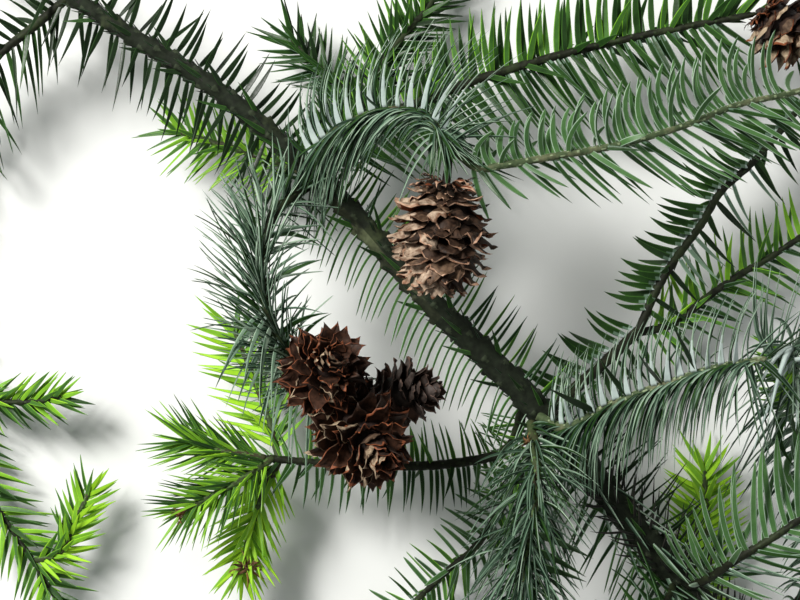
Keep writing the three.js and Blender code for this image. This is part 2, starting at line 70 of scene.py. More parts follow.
BODY = "root"
MM = 1000.0

# Where the branch's own frame stands in the row's frame, and the surface that it lies on
BRANCH_SHIFT = np.array((0.0066, 0.0078, 0.0543))
SURFACE = 0.0
LEAF_LIFT = 0.0006

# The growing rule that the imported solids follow
GOLDEN_ANGLE = math.pi * (3.0 - math.sqrt(5.0))
ROUTE_STEPS = 48
BARE_FOOT = 0.07
NEEDLE_PLACE = 0.6
TIP_LEAN = 24.0
TIP_STRETCH = 0.86
EGG_POWER = 0.8
UP = np.array((0.0, 0.0, 1.0))

# How far apart the leaves are dealt where a spray's density is 1, and how unevenly they stand
LEAF_SPACING = 0.0010
ANGLE_JITTER = 0.30
LENGTH_JITTER = 0.13
LEAN_JITTER = 4.5
ROLL_JITTER = 18.0
PULL_JITTER = 0.25
CURL_JITTER = 0.025
BLADE_TWIST = (0.35, 0.65)
WIDTH_RANGE = (0.86, 1.12)
BOW_RANGE = (0.5, 1.4)

# Leaves on top of a twig and under it lie down by the first share of their lean, or by the second where
# they lean back. On a fully combed spray they are shorter by the third.
TOP_LAID = 0.45
BACK_LAID = 0.22
TOP_SHORT = 0.80

# A spray loses leaves whose angle round the twig has a greater sine, as often as its comb squared
TOP_LIMIT = 0.6

# How far out from a stem's middle the leaves of a row are rooted, as a share of its radius
ROW_ROOT = 0.8

# How much oftener the scales on a cone's lit side are dealt light tones, as a power: painted light
# there, and painted shade on the far side
LIT_SIDE_POWER = 3.4

# No piece holds more triangles than this once its four-sided faces are split
PIECE_TRIANGLES = 185000


class Value:
    """One output of a material's nodes, used like a number in expressions."""

    def __init__(self, graph: "Graph", socket: bpy.types.NodeSocket) -> None:
        """Keep the output socket and the graph that new nodes are added to."""
        self.graph = graph
        self.socket = socket

    def _math(self, operation: str, left: Number, right: Number) -> "Value":
        """Add one Math node and return its result."""
        return self.graph.node("ShaderNodeMath", {"operation": operation}, {0: left, 1: right})

    def __add__(self, other: Number) -> "Value":
        """Return this value plus another."""
        return self._math("ADD", self, other)

    def __radd__(self, other: Number) -> "Value":
        """Return another value plus this one."""
        return self._math("ADD", other, self)

    def __sub__(self, other: Number) -> "Value":
        """Return this value less another."""
        return self._math("SUBTRACT", self, other)

    def __rsub__(self, other: Number) -> "Value":
        """Return another value less this one."""
        return self._math("SUBTRACT", other, self)

    def __mul__(self, other: Number) -> "Value":
        """Return this value times another."""
        return self._math("MULTIPLY", self, other)

    def __rmul__(self, other: Number) -> "Value":
        """Return another value times this one."""
        return self._math("MULTIPLY", other, self)


class Graph:
    """The nodes of one material, ending in a Principled surface."""

    def __init__(self, name: str) -> None:
        """Start an empty material.

        Args:
            name: The material's name.
        """
        self.material = bpy.data.materials.new(name)
        self.material.use_nodes = True
        self.tree = self.material.node_tree
        self.tree.nodes.clear()
        self.surface = self.tree.nodes.new("ShaderNodeBsdfPrincipled")
        output = self.tree.nodes.new("ShaderNodeOutputMaterial")
        self.tree.links.new(self.surface.outputs[0], output.inputs[0])

    def node(
        self,
        kind: str,
        settings: dict[str, object],
        values: dict[Union[str, int], object],
        output: Union[str, int] = 0,
    ) -> Value:
        """Add one node.

        Args:
            kind: The node's type.
            settings: Its own settings, set first; "stops" fills a ramp's colours.
            values: What its sockets hold: numbers, colours or other values to link.
            output: Which of its outputs is returned.

        Returns:
            The chosen output.
        """
        made = self.tree.nodes.new(kind)
        for name, setting in settings.items():
            if name == "stops":
                self._fill_ramp(made.color_ramp, setting)
            else:
                setattr(made, name, setting)
        for socket, value in values.items():
            self._feed(made.inputs[socket], value)
        return Value(self, made.outputs[output])

    def _fill_ramp(self, ramp: bpy.types.ColorRamp, stops: Sequence[tuple[float, Colour]]) -> None:
        """Give a ramp its stops.

        Args:
            ramp: The ramp to fill.
            stops: Places from 0 to 1 with their colours.
        """
        while len(ramp.elements) < len(stops):
            ramp.elements.new(0.5)
        for element, (place, colour) in zip(ramp.elements, stops):
            element.position = place
            element.color = (*colour, 1.0)

    def _feed(self, socket: bpy.types.NodeSocket, value: object) -> None:
        """Link a value to a socket, or set it there.

        Args:
            socket: The input socket.
            value: A Value to link, a colour or a number.
        """
        if isinstance(value, Value):
            self.tree.links.new(value.socket, socket)
        elif socket.type == "RGBA":
            socket.default_value = (*value, 1.0)
        else:
            socket.default_value = value

    def noise(self, scale: float, detail: float = 2.0) -> Value:
        """Add a pattern of noise.

        Args:
            scale: How many clouds it has to a metre.
            detail: How many finer layers it has.

        Returns:
            Its value, from 0 to 1.
        """
        place = self.node("ShaderNodeTexCoord", {}, {}, "Object")
        values = {"Vector": place, "Scale": scale, "Detail": detail}
        return self.node("ShaderNodeTexNoise", {}, values, "Fac")

    def ramp(self, value: Value, stops: Sequence[tuple[float, Colour]]) -> Value:
        """Return the colour that a value picks from a ramp."""
        return self.node("ShaderNodeValToRGB", {"stops": stops}, {"Fac": value}, "Color")

    def blend(self, factor: Number, first: object, second: object) -> Value:
        """Return a colour between two others."""
        return self.node("ShaderNodeMix", {"data_type": "RGBA"}, {0: factor, 6: first, 7: second}, 2)

    def bump(self, height: Value, depth: float) -> Value:
        """Return a normal with relief, where a height of 1 stands the depth in metres over 0."""
        return self.node("ShaderNodeBump", {}, {"Height": height, "Distance": depth})

    def finish(self, values: dict[str, object]) -> Material:
        """Feed the surface and return the material.

        Args:
            values: What the surface's sockets hold.

        Returns:
            The finished material.
        """
        for socket, value in values.items():
            self._feed(self.surface.inputs[socket], value)
        return self.material


def swung(middle: float, swing: float, pattern: Value) -> Value:
    """Return a value that a pattern from 0 to 1 swings to either side of its middle."""
    return middle - swing + pattern * (2.0 * swing)


@dataclass(frozen=True)
class SoftFinish:
    """A skin of two close tones, with soft clouds and a fine pattern that also gives its relief.

    The contrast says how far the pattern and the clouds lighten it, and how much darker it starts.
    """

    name: str
    light: Colour
    deep: Colour
    roughness: float
    swing: float
    pattern: float
    detail: float
    clouds: float
    contrast: Point
    grain_depth: float
    specular: float

    def material(self) -> Material:
        """Make the skin's material.

        Returns:
            The material.
        """
        graph = Graph(self.name)
        pattern = graph.noise(self.pattern, self.detail)
        clouds = graph.noise(self.clouds)
        by_pattern, by_clouds, darker = self.contrast
        share = pattern * by_pattern + clouds * by_clouds - darker
        return graph.finish({
            "Base Color": graph.blend(share, self.deep, self.light),
            "Roughness": swung(self.roughness, self.swing, pattern),
            "Normal": graph.bump(pattern, self.grain_depth),
            "Specular IOR Level": self.specular,
        })


@dataclass(frozen=True)
class LeafFinish(SoftFinish):
    """The skin of one part of a leaf, more or less waxy."""

    swing: float = 0.08
    pattern: float = 900.0
    detail: float = 3.0
    clouds: float = 70.0
    contrast: Point = (0.5, 1.7, 0.6)
    grain_depth: float = 0.00005
    specular: float = 0.16


@dataclass(frozen=True)
class ScaleFinish(SoftFinish):
    """A cone scale's face: woody, streaked, with a dull sheen."""

    roughness: float = 0.58
    swing: float = 0.1
    pattern: float = 620.0
    detail: float = 5.0
    clouds: float = 186.0
    contrast: Point = (2.6, 1.6, 1.6)
    grain_depth: float = 0.00022
    specular: float = 0.2


class Tone(Enum):
    """The plain tones that parts of leaves are dealt: a light and a deep colour, and a roughness."""

    NIGHT = ((0.014, 0.030, 0.011), (0.004, 0.010, 0.003), 0.30)
    DUSK = ((0.040, 0.080, 0.048), (0.010, 0.026, 0.014), 0.32)
    DARK = ((0.028, 0.076, 0.015), (0.007, 0.024, 0.005), 0.32)
    GREEN = ((0.074, 0.190, 0.032), (0.023, 0.075, 0.012), 0.36)
    MOSS = ((0.088, 0.194, 0.060), (0.031, 0.084, 0.024), 0.38)
    BRIGHT = ((0.230, 0.490, 0.036), (0.100, 0.265, 0.015), 0.40)
    YOUNG = ((0.430, 0.740, 0.040), (0.240, 0.510, 0.020), 0.44)
    SAGE = ((0.180, 0.275, 0.190), (0.074, 0.132, 0.084), 0.42)
    PALE = ((0.380, 0.480, 0.370), (0.190, 0.285, 0.200), 0.46)
    # SILVER paints the highlights at leaf roots, and is the pale underside of some blades
    SILVER = ((0.570, 0.655, 0.625), (0.270, 0.345, 0.320), 0.34)
    DEAD = ((0.036, 0.035, 0.031), (0.011, 0.011, 0.010), 0.70)
    STRAW = ((0.090, 0.084, 0.066), (0.034, 0.031, 0.024), 0.65)

    def finish(self) -> LeafFinish:
        """Return the finish of this tone."""
        return LeafFinish("leaf_" + self.name.lower(), *self.value)


class Outline(Enum):
    """How wide a leaf is at each of its rings, from its root to its tip."""

    LANCE = (0.50, 0.74, 0.93, 1.00, 0.94, 0.80, 0.60, 0.37, 0.14)
    NEEDLE = (0.36, 0.56, 0.84, 1.00, 0.96, 0.80, 0.58, 0.34, 0.12)
    SICKLE = (0.94, 1.00, 0.90, 0.66, 0.46, 0.34, 0.26, 0.18, 0.09)
    STRAND = (0.60, 0.82, 0.95, 1.00, 0.96, 0.86, 0.70, 0.47, 0.19)
    STRAP = (0.62, 0.82, 0.95, 1.00, 1.00, 0.97, 0.88, 0.70, 0.36)


@dataclass(frozen=True)
class Dress:
    """What a leaf wears: the tones of its parts and its outline, which slim narrows.

    The root's tone, a painted highlight where the leaf bends from its twig, reaches as far as root_share,
    and the fade's tone from there to fade_share. On the leaf's far half both reach a part of that,
    far_reach.
    """

    blade: Tone
    under: Tone
    margin: Tone
    outline: Outline = Outline.LANCE
    slim: float = 1.0
    root: Tone = Tone.SAGE
    root_share: float = 0.0
    fade: Tone = Tone.SAGE
    fade_share: float = 0.0
    far_reach: float = 0.45


class Leaf(Enum):
    """The kinds of leaf on the branch."""

    # Each kind's root tone, where it has one, is a painted highlight at the leaf's foot
    LEADER = Dress(Tone.NIGHT, Tone.DUSK, Tone.DARK, Outline.NEEDLE)
    DARK = Dress(Tone.DARK, Tone.SAGE, Tone.GREEN, root=Tone.PALE, root_share=0.03)
    GLINT = Dress(Tone.DARK, Tone.DUSK, Tone.GREEN, root=Tone.SILVER, root_share=0.10, fade_share=0.22)
    EDGED = Dress(Tone.MOSS, Tone.PALE, Tone.PALE, Outline.STRAP, root=Tone.PALE, root_share=0.05)
    FALLING = Dress(Tone.GREEN, Tone.PALE, Tone.PALE, Outline.STRAP, 0.54)
    EDGED_DARK = Dress(Tone.DARK, Tone.SAGE, Tone.SAGE, root_share=0.06)
    GREEN = Dress(Tone.GREEN, Tone.SAGE, Tone.BRIGHT, root=Tone.PALE, root_share=0.03)
    BRIGHT = Dress(Tone.BRIGHT, Tone.PALE, Tone.YOUNG)
    YOUNG = Dress(Tone.YOUNG, Tone.YOUNG, Tone.BRIGHT)
    STRAND = Dress(Tone.DUSK, Tone.SAGE, Tone.SAGE, Outline.STRAND, 0.46)
    WISP = Dress(Tone.DARK, Tone.DUSK, Tone.PALE, Outline.STRAND, 0.40)
    GREY = Dress(Tone.SAGE, Tone.DUSK, Tone.PALE, Outline.STRAND, 0.42)
    SHADE = Dress(Tone.DARK, Tone.NIGHT, Tone.DUSK, Outline.STRAND, 0.48)
    BLUE = Dress(Tone.SAGE, Tone.PALE, Tone.PALE, slim=0.66, root=Tone.SILVER, root_share=0.10)
    PALE = Dress(Tone.DUSK, Tone.SILVER, Tone.PALE, root=Tone.PALE, root_share=0.30, fade_share=0.60)
    SILVERED = Dress(
        Tone.SAGE, Tone.SAGE, Tone.PALE, Outline.SICKLE, root=Tone.SILVER, root_share=0.46,
        fade=Tone.PALE, fade_share=0.74, far_reach=0.62,
    )
    DEAD = Dress(Tone.DEAD, Tone.DEAD, Tone.STRAW)
    STUB = Dress(Tone.NIGHT, Tone.DEAD, Tone.DUSK, Outline.SICKLE, root=Tone.DEAD, root_share=0.30)


@dataclass(frozen=True)
class BarkFinish:
    """A stem's skin: two tones along the grain, with worn or mossy patches of a third.

    The clouds that place the patches and the fine grain have scales that are multiples of the grain's.
    """

    name: str
    light: Colour
    deep: Colour
    patch: Colour
    patch_share: float
    roughness: float = 0.8
    swing: float = 0.12
    grain: float = 420.0
    grain_depth: float = 0.0003
    cloud_scale: float = 0.12
    fine_scale: float = 4.0
    fine_share: float = 0.3
    contrast: float = 1.6
    patch_start: float = 0.62
    patch_edge: float = 0.14
    patch_grain: float = 0.25
    patch_drop: float = 0.12
    specular: float = 0.16

    def material(self) -> Material:
        """Make the skin's material.

        Returns:
            The material.
        """
        graph = Graph(self.name)
        grain = graph.noise(self.grain, 6.0)
        cloud = graph.noise(self.grain * self.cloud_scale, 3.0)
        fine = graph.noise(self.grain * self.fine_scale)
        skin = graph.blend(grain * self.contrast - 0.5 * (self.contrast - 1.0), self.deep, self.light)
        start = self.patch_start - self.patch_share * 0.5
        stops = ((start, (0.0, 0.0, 0.0)), (start + self.patch_edge, (1.0, 1.0, 1.0)))
        patches = graph.ramp(cloud + grain * self.patch_grain - self.patch_drop, stops)
        relief = grain * (1.0 - self.fine_share) + fine * self.fine_share
        return graph.finish({
            "Base Color": graph.blend(patches, skin, self.patch),
            "Roughness": swung(self.roughness, self.swing, fine),
            "Normal": graph.bump(relief, self.grain_depth),
            "Specular IOR Level": self.specular,
        })


@dataclass(frozen=True)
class FloorFinish:
    """A plain pale floor with the faintest unevenness."""

    name: str = "pale_floor"
    light: Colour = (0.80, 0.81, 0.80)
    deep: Colour = (0.76, 0.77, 0.76)
    roughness: float = 0.90
    swing: float = 0.05
    clouds: float = 4.0

    def material(self) -> Material:
        """Make the floor's material.

        Returns:
            The material.
        """
        graph = Graph(self.name)
        cloud = graph.noise(self.clouds)
        return graph.finish({
            "Base Color": graph.blend(cloud, self.deep, self.light),
            "Roughness": swung(self.roughness, self.swing, cloud),
        })


class Route:
    """A smooth curve through chosen points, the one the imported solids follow, measured by length."""

    def __init__(self, points: Sequence[Point]) -> None:
        """Draw the curve.

        Args:
            points: The points it goes through, in millimetres in the branch's own frame.
        """
        knots = np.array(points) / MM + BRANCH_SHIFT
        first = 2.0 * knots[0] - knots[1]
        last = 2.0 * knots[-1] - knots[-2]
        knots = np.vstack((first, knots, last))
        spans = [self._span(knots[i:i + 4]) for i in range(len(knots) - 3)]
        self.points = np.vstack((*spans, knots[-2:-1]))
        lengths = np.linalg.norm(np.diff(self.points, axis=0), axis=1)
        self.reach = np.concatenate(((0.0,), np.cumsum(lengths)))
        self.length = float(self.reach[-1])

    def _span(self, knots: Array) -> Array:
        """Return the points of one span of the centripetal curve.

        Args:
            knots: The span's two ends between the points before and after them.

        Returns:
            The points from the span's start to just before its end.
        """
        before, span, after = np.sqrt(np.linalg.norm(np.diff(knots, axis=0), axis=1))
        start, end = knots[1], knots[2]
        leave = (start - knots[0]) / before - (end - knots[0]) / (before + span) + (end - start) / span
        arrive = (end - start) / span - (knots[3] - start) / (span + after) + (knots[3] - end) / after
        leave, arrive = leave * span, arrive * span
        t = (np.arange(ROUTE_STEPS) / ROUTE_STEPS)[:, None]
        square = (3.0 * (end - start) - 2.0 * leave - arrive) * t ** 2
        return start + leave * t + square + (2.0 * (start - end) + leave + arrive) * t ** 3

    def at(self, shares: Array) -> Array:
        """Return the points at shares of the length."""
        reach = np.clip(shares, 0.0, 1.0) * self.length
        return np.stack([np.interp(reach, self.reach, self.points[:, k]) for k in range(3)], axis=1)

    def along(self, shares: Array) -> Array:
        """Return the directions of growth at shares of the length."""
        near = 0.004
        return unit(self.at(shares + near) - self.at(shares - near))

    def frames(self, shares: Array) -> tuple[Array, Array, Array]:
        """Find the curve's own three directions.

        Args:
            shares: Places as shares of its length.

        Returns:
            The directions along it, to its right side and to its top.
        """
        along = self.along(shares)
        side = unit(np.cross(along, UP))
        return along, side, unit(np.cross(side, along))


def unit(vectors: Array) -> Array:
    """Return vectors at length 1."""
    return vectors / np.maximum(np.linalg.norm(vectors, axis=-1, keepdims=True), 1e-12)


def between(start: Amount, end: Amount, share: Amount) -> Amount:
    """Return values between two others, by a share for each row."""
    return start + (end - start) * share


class Surface:
    """Corners and faces gathered piece by piece, then made into one mesh."""

    def __init__(self) -> None:
        """Start with nothing."""
        self.corners: list[Array] = []
        self.faces: list[tuple[Array, Array]] = []
        self.count = 0
        self.triangles = 0

    def add(self, corners: Array, faces: Faces) -> None:
        """Add one shape.

        Args:
            corners: Its corners, in metres.
            faces: Its faces with their slots.
        """
        self.corners.append(corners)
        for loops, slots in faces:
            self.faces.append((loops + self.count, slots))
            self.triangles += len(loops) * (loops.shape[1] - 2)
        self.count += len(corners)

    def build(self, name: str, materials: Sequence[Material]) -> Piece:
        """Make the mesh and its object.

        Args:
            name: The object's name.
            materials: The materials of its slots; the ones that no face has are left out.

        Returns:
            The object, at the origin.
        """
        mesh = bpy.data.meshes.new(name)
        corners = np.concatenate(self.corners)
        loops = np.concatenate([faces.ravel() for faces, _ in self.faces])
        totals = np.concatenate([np.full(len(faces), faces.shape[1]) for faces, _ in self.faces])
        slots = np.concatenate([slots for _, slots in self.faces])
        starts = np.concatenate(((0,), np.cumsum(totals)[:-1]))
        mesh.vertices.add(len(corners))
        mesh.vertices.foreach_set("co", corners.ravel())
        mesh.loops.add(len(loops))
        mesh.loops.foreach_set("vertex_index", loops)
        mesh.polygons.add(len(totals))
        mesh.polygons.foreach_set("loop_start", starts)
        used = np.unique(slots)
        for slot in used:
            mesh.materials.append(materials[slot])
        mesh.polygons.foreach_set("material_index", np.searchsorted(used, slots))
        mesh.polygons.foreach_set("use_smooth", np.ones(len(totals), dtype=bool))
        mesh.update(calc_edges=True)
        mesh.validate()
        made = bpy.data.objects.new(name, mesh)
        bpy.context.scene.collection.objects.link(made)
        return made


def tube_faces(rings: int, sides: int) -> Faces:
    """Return the faces of a closed tube of rings with a corner at each end.

    Args:
        rings: How many rings it has.
        sides: How many corners each ring has.

    Returns:
        Its four-sided faces and its three-sided end faces, all in slot 0.
    """
    ring, side = np.meshgrid(np.arange(rings - 1), np.arange(sides), indexing="ij")
    here = (ring * sides + side).ravel()
    beside = (ring * sides + (side + 1) % sides).ravel()
    skin = np.stack((here, here + sides, beside + sides, beside), axis=1)
    side = np.arange(sides)
    after = (side + 1) % sides
    last = (rings - 1) * sides
    foot = np.stack((np.full(sides, rings * sides), side, after), axis=1)
    tip = np.stack((np.full(sides, rings * sides + 1), last + after, last + side), axis=1)
    ends = np.vstack((foot, tip))
    return [(skin, np.zeros(len(skin), dtype=int)), (ends, np.zeros(len(ends), dtype=int))]


@dataclass(frozen=True)
class LeafBases:
    """The feet of leaves that run down a stem as low ridges, each from its leaf towards the root.

    A ridge rises over its nose, a share of its length, and narrows to a share of its width as it fades.
    """

    height: float
    width: float
    length: float
    nose: float = 0.14
    fade: float = 1.3
    narrow: float = 0.45

    def relief(self, reach: Array, angles: Array, radius: Array, roots: Array, turns: Array) -> Array:
        """Return how far the skin stands out at each corner of a tube.

        Args:
            reach: Each ring's distance from the root, in metres.
            angles: Each corner's angle round the stem.
            radius: Each ring's radius.
            roots: The distance of each leaf from the root.
            turns: The angle of each leaf.

        Returns:
            The height, ring by ring and corner by corner.
        """
        height = np.zeros((len(reach), len(angles)))
        for root, turn in zip(roots, turns):
            down = (root - reach) / self.length
            near = np.flatnonzero((down > -self.nose) & (down < 1.0))
            if len(near) == 0:
                continue
            down = down[near]
            ramp = np.where(down < 0.0, 1.0 + down / self.nose, (1.0 - down) ** self.fade)
            around = (angles - turn + math.pi) % (2.0 * math.pi) - math.pi
            wide = self.width * between(self.narrow, 1.0, ramp[:, None])
            across = around[None, :] * radius[near, None] / wide
            ridge = ramp[:, None] * np.exp(-across ** 2)
            height[near] = np.maximum(height[near], ridge)
        return height * self.height


@dataclass(frozen=True)
class StemForm:
    """The mesh of a stem: how finely it is drawn and how rough its skin is.

    The roughness is a few waves, of so many radians to the metre, crossed by slower ones. What stands
    higher than a share of the leaf feet is raised. A bud closes by a share of its section.
    """

    sides: int
    step: float
    bases: LeafBases
    roughness: float
    least_rings: int = 6
    waves: int = 5
    pitch: Pair = (90.0, 420.0)
    cross_pitch: float = 0.37
    raised: float = 0.45
    closing: float = 0.9

    def draw(
        self, route: Route, radius: Pair, roots: Array, turns: Array, seed: int, bud_start: float = 1.0
    ) -> Shape:
        """Draw one stem.

        Args:
            route: Its centre line.
            radius: Its radius at the root and at the tip, in millimetres.
            roots: The leaves' places as shares of its length.
            turns: The leaves' angles round it.
            seed: Where its random numbers start.
            bud_start: Where its bud's taper starts, as a share of its length.

        Returns:
            Its corners and faces; slot 1 is the leaf bases, slot 0 the rest.
        """
        rings = max(self.least_rings, round(route.length / self.step))
        shares = np.linspace(0.0, 1.0, rings)
        angles = np.arange(self.sides) * 2.0 * math.pi / self.sides
        _, side, top = route.frames(shares)
        bud = np.clip((shares - bud_start) / max(1.0 - bud_start, 1e-6), 0.0, 1.0)
        thick = between(radius[0] / MM, radius[1] / MM, shares) * np.sqrt(1.0 - self.closing * bud ** 2)
        height = self.bases.relief(shares * route.length, angles, thick, roots * route.length, turns)
        random = np.random.default_rng(seed)
        waves = np.zeros_like(height)
        for wave in range(1, self.waves + 1):
            phase = random.uniform(0.0, 2.0 * math.pi, 2)
            pitch = random.uniform(*self.pitch) * route.length
            swing = np.sin(shares[:, None] * pitch + wave * angles[None, :] + phase[0])
            waves += swing * np.cos(shares[:, None] * pitch * self.cross_pitch + phase[1]) / wave
        stand = thick[:, None] + height + waves * self.roughness
        around = side[:, None] * np.cos(angles)[None, :, None] + top[:, None] * np.sin(angles)[None, :, None]
        corners = route.at(shares)[:, None] + around * stand[..., None]
        corners = np.vstack((corners.reshape(-1, 3), route.at(np.array((0.0, 1.0)))))
        corners[:, 2] = np.maximum(corners[:, 2], SURFACE)
        (skin, _), ends = tube_faces(rings, self.sides)
        raised = height.ravel()[skin].mean(axis=1) > self.raised * self.bases.height
        return corners, [(skin, raised.astype(int)), ends]


@dataclass(frozen=True)
class BladeForm:
    """The rings and the section of a leaf, which is keeled and folded a little along its middle.

    The across, rise and skin values place the corners of a ring; the skin's are shares of the thickness.
    """

    shares: Series = (0.0, 0.05, 0.13, 0.25, 0.39, 0.54, 0.69, 0.83, 0.94)
    across: Series = (-1.0, -0.74, 0.0, 0.74, 1.0, 0.0)
    rise: Series = (0.32, 0.22, 0.0, 0.22, 0.32, -0.14)
    skin: Series = (0.0, 0.5, 0.5, 0.5, 0.0, -0.5)
    thickness: float = 0.00040
    clearance: float = 0.0001
    margins: tuple[int, ...] = (0, 3)
    undersides: tuple[int, ...] = (4, 5)
    far_half: tuple[int, ...] = (2, 3)
    cap: tuple[tuple[int, ...], ...] = ((1, 0, 5, 2), (2, 5, 4, 3))

    def draw(self, leaves: "Leaves") -> Shape:
        """Draw many leaves at once.

        Args:
            leaves: Where the leaves stand and how they bend.

        Returns:
            Their corners and faces; a face's slot is the place of its tone among all tones.
        """
        shares = np.array(self.shares)
        centre, tangent = leaves.line(shares)
        across = unit(np.cross(tangent, leaves.facing[:, None]))
        up = np.cross(across, tangent)
        outlines = np.array([leaf.value.outline.value for leaf in Leaf])
        half = 0.5 * leaves.width[:, None, None, None] * outlines[leaves.kind][:, :, None, None]
        sideways = across[:, :, None] * np.array(self.across)[None, None, :, None] * half
        lift = np.array(self.rise)[None, None, :, None] * half
        lift = lift + np.array(self.skin)[None, None, :, None] * self.thickness
        rings = centre[:, :, None] + sideways + up[:, :, None] * lift
        tips, _ = leaves.line(np.array((1.0,)))
        count = len(rings)
        corners = np.concatenate((rings.reshape(count, -1, 3), tips), axis=1)
        corners[..., 2] = np.maximum(corners[..., 2], SURFACE + self.clearance)
        return corners.reshape(-1, 3), self._faces(leaves.kind)

    def _faces(self, kinds: Array) -> Faces:
        """Return the faces of many leaves.

        Args:
            kinds: The place of each leaf's kind among all kinds.

        Returns:
            The faces with their slots.
        """
        rings, sides = len(self.shares), len(self.across)
        ring, side = np.meshgrid(np.arange(rings - 1), np.arange(sides), indexing="ij")
        ring, side = ring.ravel(), side.ravel()
        here = ring * sides + side
        beside = ring * sides + (side + 1) % sides
        skin = np.stack((here, beside, beside + sides, here + sides), axis=1)
        last = (rings - 1) * sides
        end = np.arange(sides)
        tip = np.stack((last + end, last + (end + 1) % sides, np.full(sides, rings * sides)), axis=1)
        cap = np.array(self.cap)
        parts = (
            (skin, ring, side),
            (tip, np.full(sides, rings - 1), end),
            (cap, np.zeros(len(cap), dtype=int), np.ones(len(cap))),
        )
        steps = np.arange(len(kinds))[:, None, None] * (rings * sides + 1)
        repeated = []
        for faces, on_ring, on_side in parts:
            tones = np.array([self._tones(leaf.value, on_ring, on_side) for leaf in Leaf])
            loops = (faces[None] + steps).reshape(-1, faces.shape[1])
            repeated.append((loops, tones[kinds].ravel()))
        return repeated

    def _tones(self, dress: Dress, ring: Array, side: Array) -> Array:
        """Return the tone of faces of one kind of leaf.

        Args:
            dress: What the leaf wears.
            ring: The ring where each face starts.
            side: Which side of the section each face is on.

        Returns:
            The place of each face's tone among all tones.
        """
        tones = tuple(Tone)
        tone = np.full(len(ring), tones.index(dress.blade))
        tone[np.isin(side, self.undersides)] = tones.index(dress.under)
        tone[np.isin(side, self.margins)] = tones.index(dress.margin)
        upper = ~np.isin(side, self.undersides)
        place = np.array(self.shares)[ring] / np.where(np.isin(side, self.far_half), dress.far_reach, 1.0)
        # The fade and root tones, painted highlights, cover the upper faces near the root
        tone[(place < dress.fade_share) & upper] = tones.index(dress.fade)
        tone[(place < dress.root_share) & upper] = tones.index(dress.root)
        return tone


# Strands have a plain section of four corners, with one edge pale
STRAND_FORM = BladeForm(
    across=(-1.0, -0.25, 1.0, 0.1), rise=(0.32, 0.05, 0.32, -0.25), skin=(0.0, 0.5, 0.0, -0.5),
    margins=(0,), undersides=(2, 3), far_half=(1,), cap=((1, 0, 3, 2),),
)


@dataclass
class Leaves:
    """Many leaves: their roots, directions and bends, one row each."""

    root: Array
    direction: Array
    long: Array
    pull: Array
    bow: Array
    facing: Array
    width: Array
    kind: Array

    def line(self, shares: Array) -> tuple[Array, Array]:
        """Return the middle lines and their directions.

        Args:
            shares: Places from the root, 0, to the tip, 1.

        Returns:
            Points and unit directions, leaf by leaf and place by place.
        """
        s = shares[None, :, None]
        long = self.long[:, None, None]
        points = self.root[:, None] + long * (
            self.direction[:, None] * s + self.pull[:, None] * s ** 2 + self.bow[:, None] * (s ** 2 - s)
        )
        points[..., 2] = np.maximum(points[..., 2], SURFACE + LEAF_LIFT)
        slope = self.direction[:, None] + self.pull[:, None] * 2.0 * s + self.bow[:, None] * (2.0 * s - 1.0)
        return points, unit(slope)

    def kept(self, keep: Array) -> "Leaves":
        """Return only some of the leaves."""
        return Leaves(*(getattr(self, name)[keep] for name in self.__dataclass_fields__))


class Mass(Enum):
    """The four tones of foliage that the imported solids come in, by their material slots."""

    DARK = "needles_dark"
    GREEN = "needles_green"
    GLAUCOUS = "needles_glaucous"
    FRESH = "needles_fresh"


class Twig(Enum):
    """The skins that twigs come in: light, deep and patch colours, and the colours of leaf feet."""

    DARK = ((0.017, 0.020, 0.010), (0.005, 0.006, 0.003), (0.024, 0.034, 0.013), (0.034, 0.054, 0.020))
    GREEN = ((0.060, 0.086, 0.030), (0.020, 0.032, 0.012), (0.050, 0.040, 0.022), (0.100, 0.180, 0.050))
    PALE = ((0.080, 0.115, 0.050), (0.030, 0.046, 0.022), (0.140, 0.145, 0.080), (0.300, 0.370, 0.210))

    def finishes(self) -> tuple[BarkFinish, BarkFinish]:
        """Make this kind's finishes.

        Returns:
            Those of the skin and of the leaf feet that run down it.
        """
        light, deep, patch, foot = self.value
        name = "twig_" + self.name.lower()
        fade = 0.45
        faded = tuple(fade * part for part in foot)
        return (
            BarkFinish(name, light, deep, patch, 0.25, 0.62, grain=700.0, grain_depth=0.00015),
            BarkFinish(name + "_feet", foot, faded, light, 0.10, 0.50, grain=900.0, grain_depth=0.0001),
        )


@dataclass(frozen=True)
class Side:
    """How leaves stand on one side of a stem: length, lean from it in degrees, bend, kinds, roll.

    The share kept is how many of the leaves dealt out there stand.
    """

    long: float
    lean: float
    pull: Point
    leaves: tuple[Leaf, ...]
    roll: float
    width: float
    bow: float = 0.10
    kept: float = 1.0

    def dealt(self, count: int, random: Random) -> tuple[Array, Array]:
        """Deal kinds and widths out.

        Args:
            count: How many leaves there are.
            random: The random numbers to use.

        Returns:
            Each leaf's kind, by its place among all kinds, and its width.
        """
        kinds = np.array([tuple(Leaf).index(leaf) for leaf in self.leaves])
        slims = np.array([leaf.value.slim for leaf in self.leaves])
        dealt = random.integers(0, len(kinds), count)
        return kinds[dealt], self.width / MM * slims[dealt] * random.uniform(*WIDTH_RANGE, count)


def pick(right: Array, left_value: float, right_value: float) -> Array:
    """Return one side's value or the other's, row by row."""
    return np.where(right, right_value, left_value)


def turned(start: Array, towards: Array, angle: Array) -> Array:
    """Return directions turned by an angle in radians towards others that stand across them."""
    return start * np.cos(angle)[:, None] + towards * np.sin(angle)[:, None]


def rolled(direction: Array, facing: Array, roll: Array) -> Array:
    """Return the way that each blade faces once it is rolled about its direction, in radians."""
    across = unit(np.cross(direction, facing))
    return turned(np.cross(across, direction), across, roll)


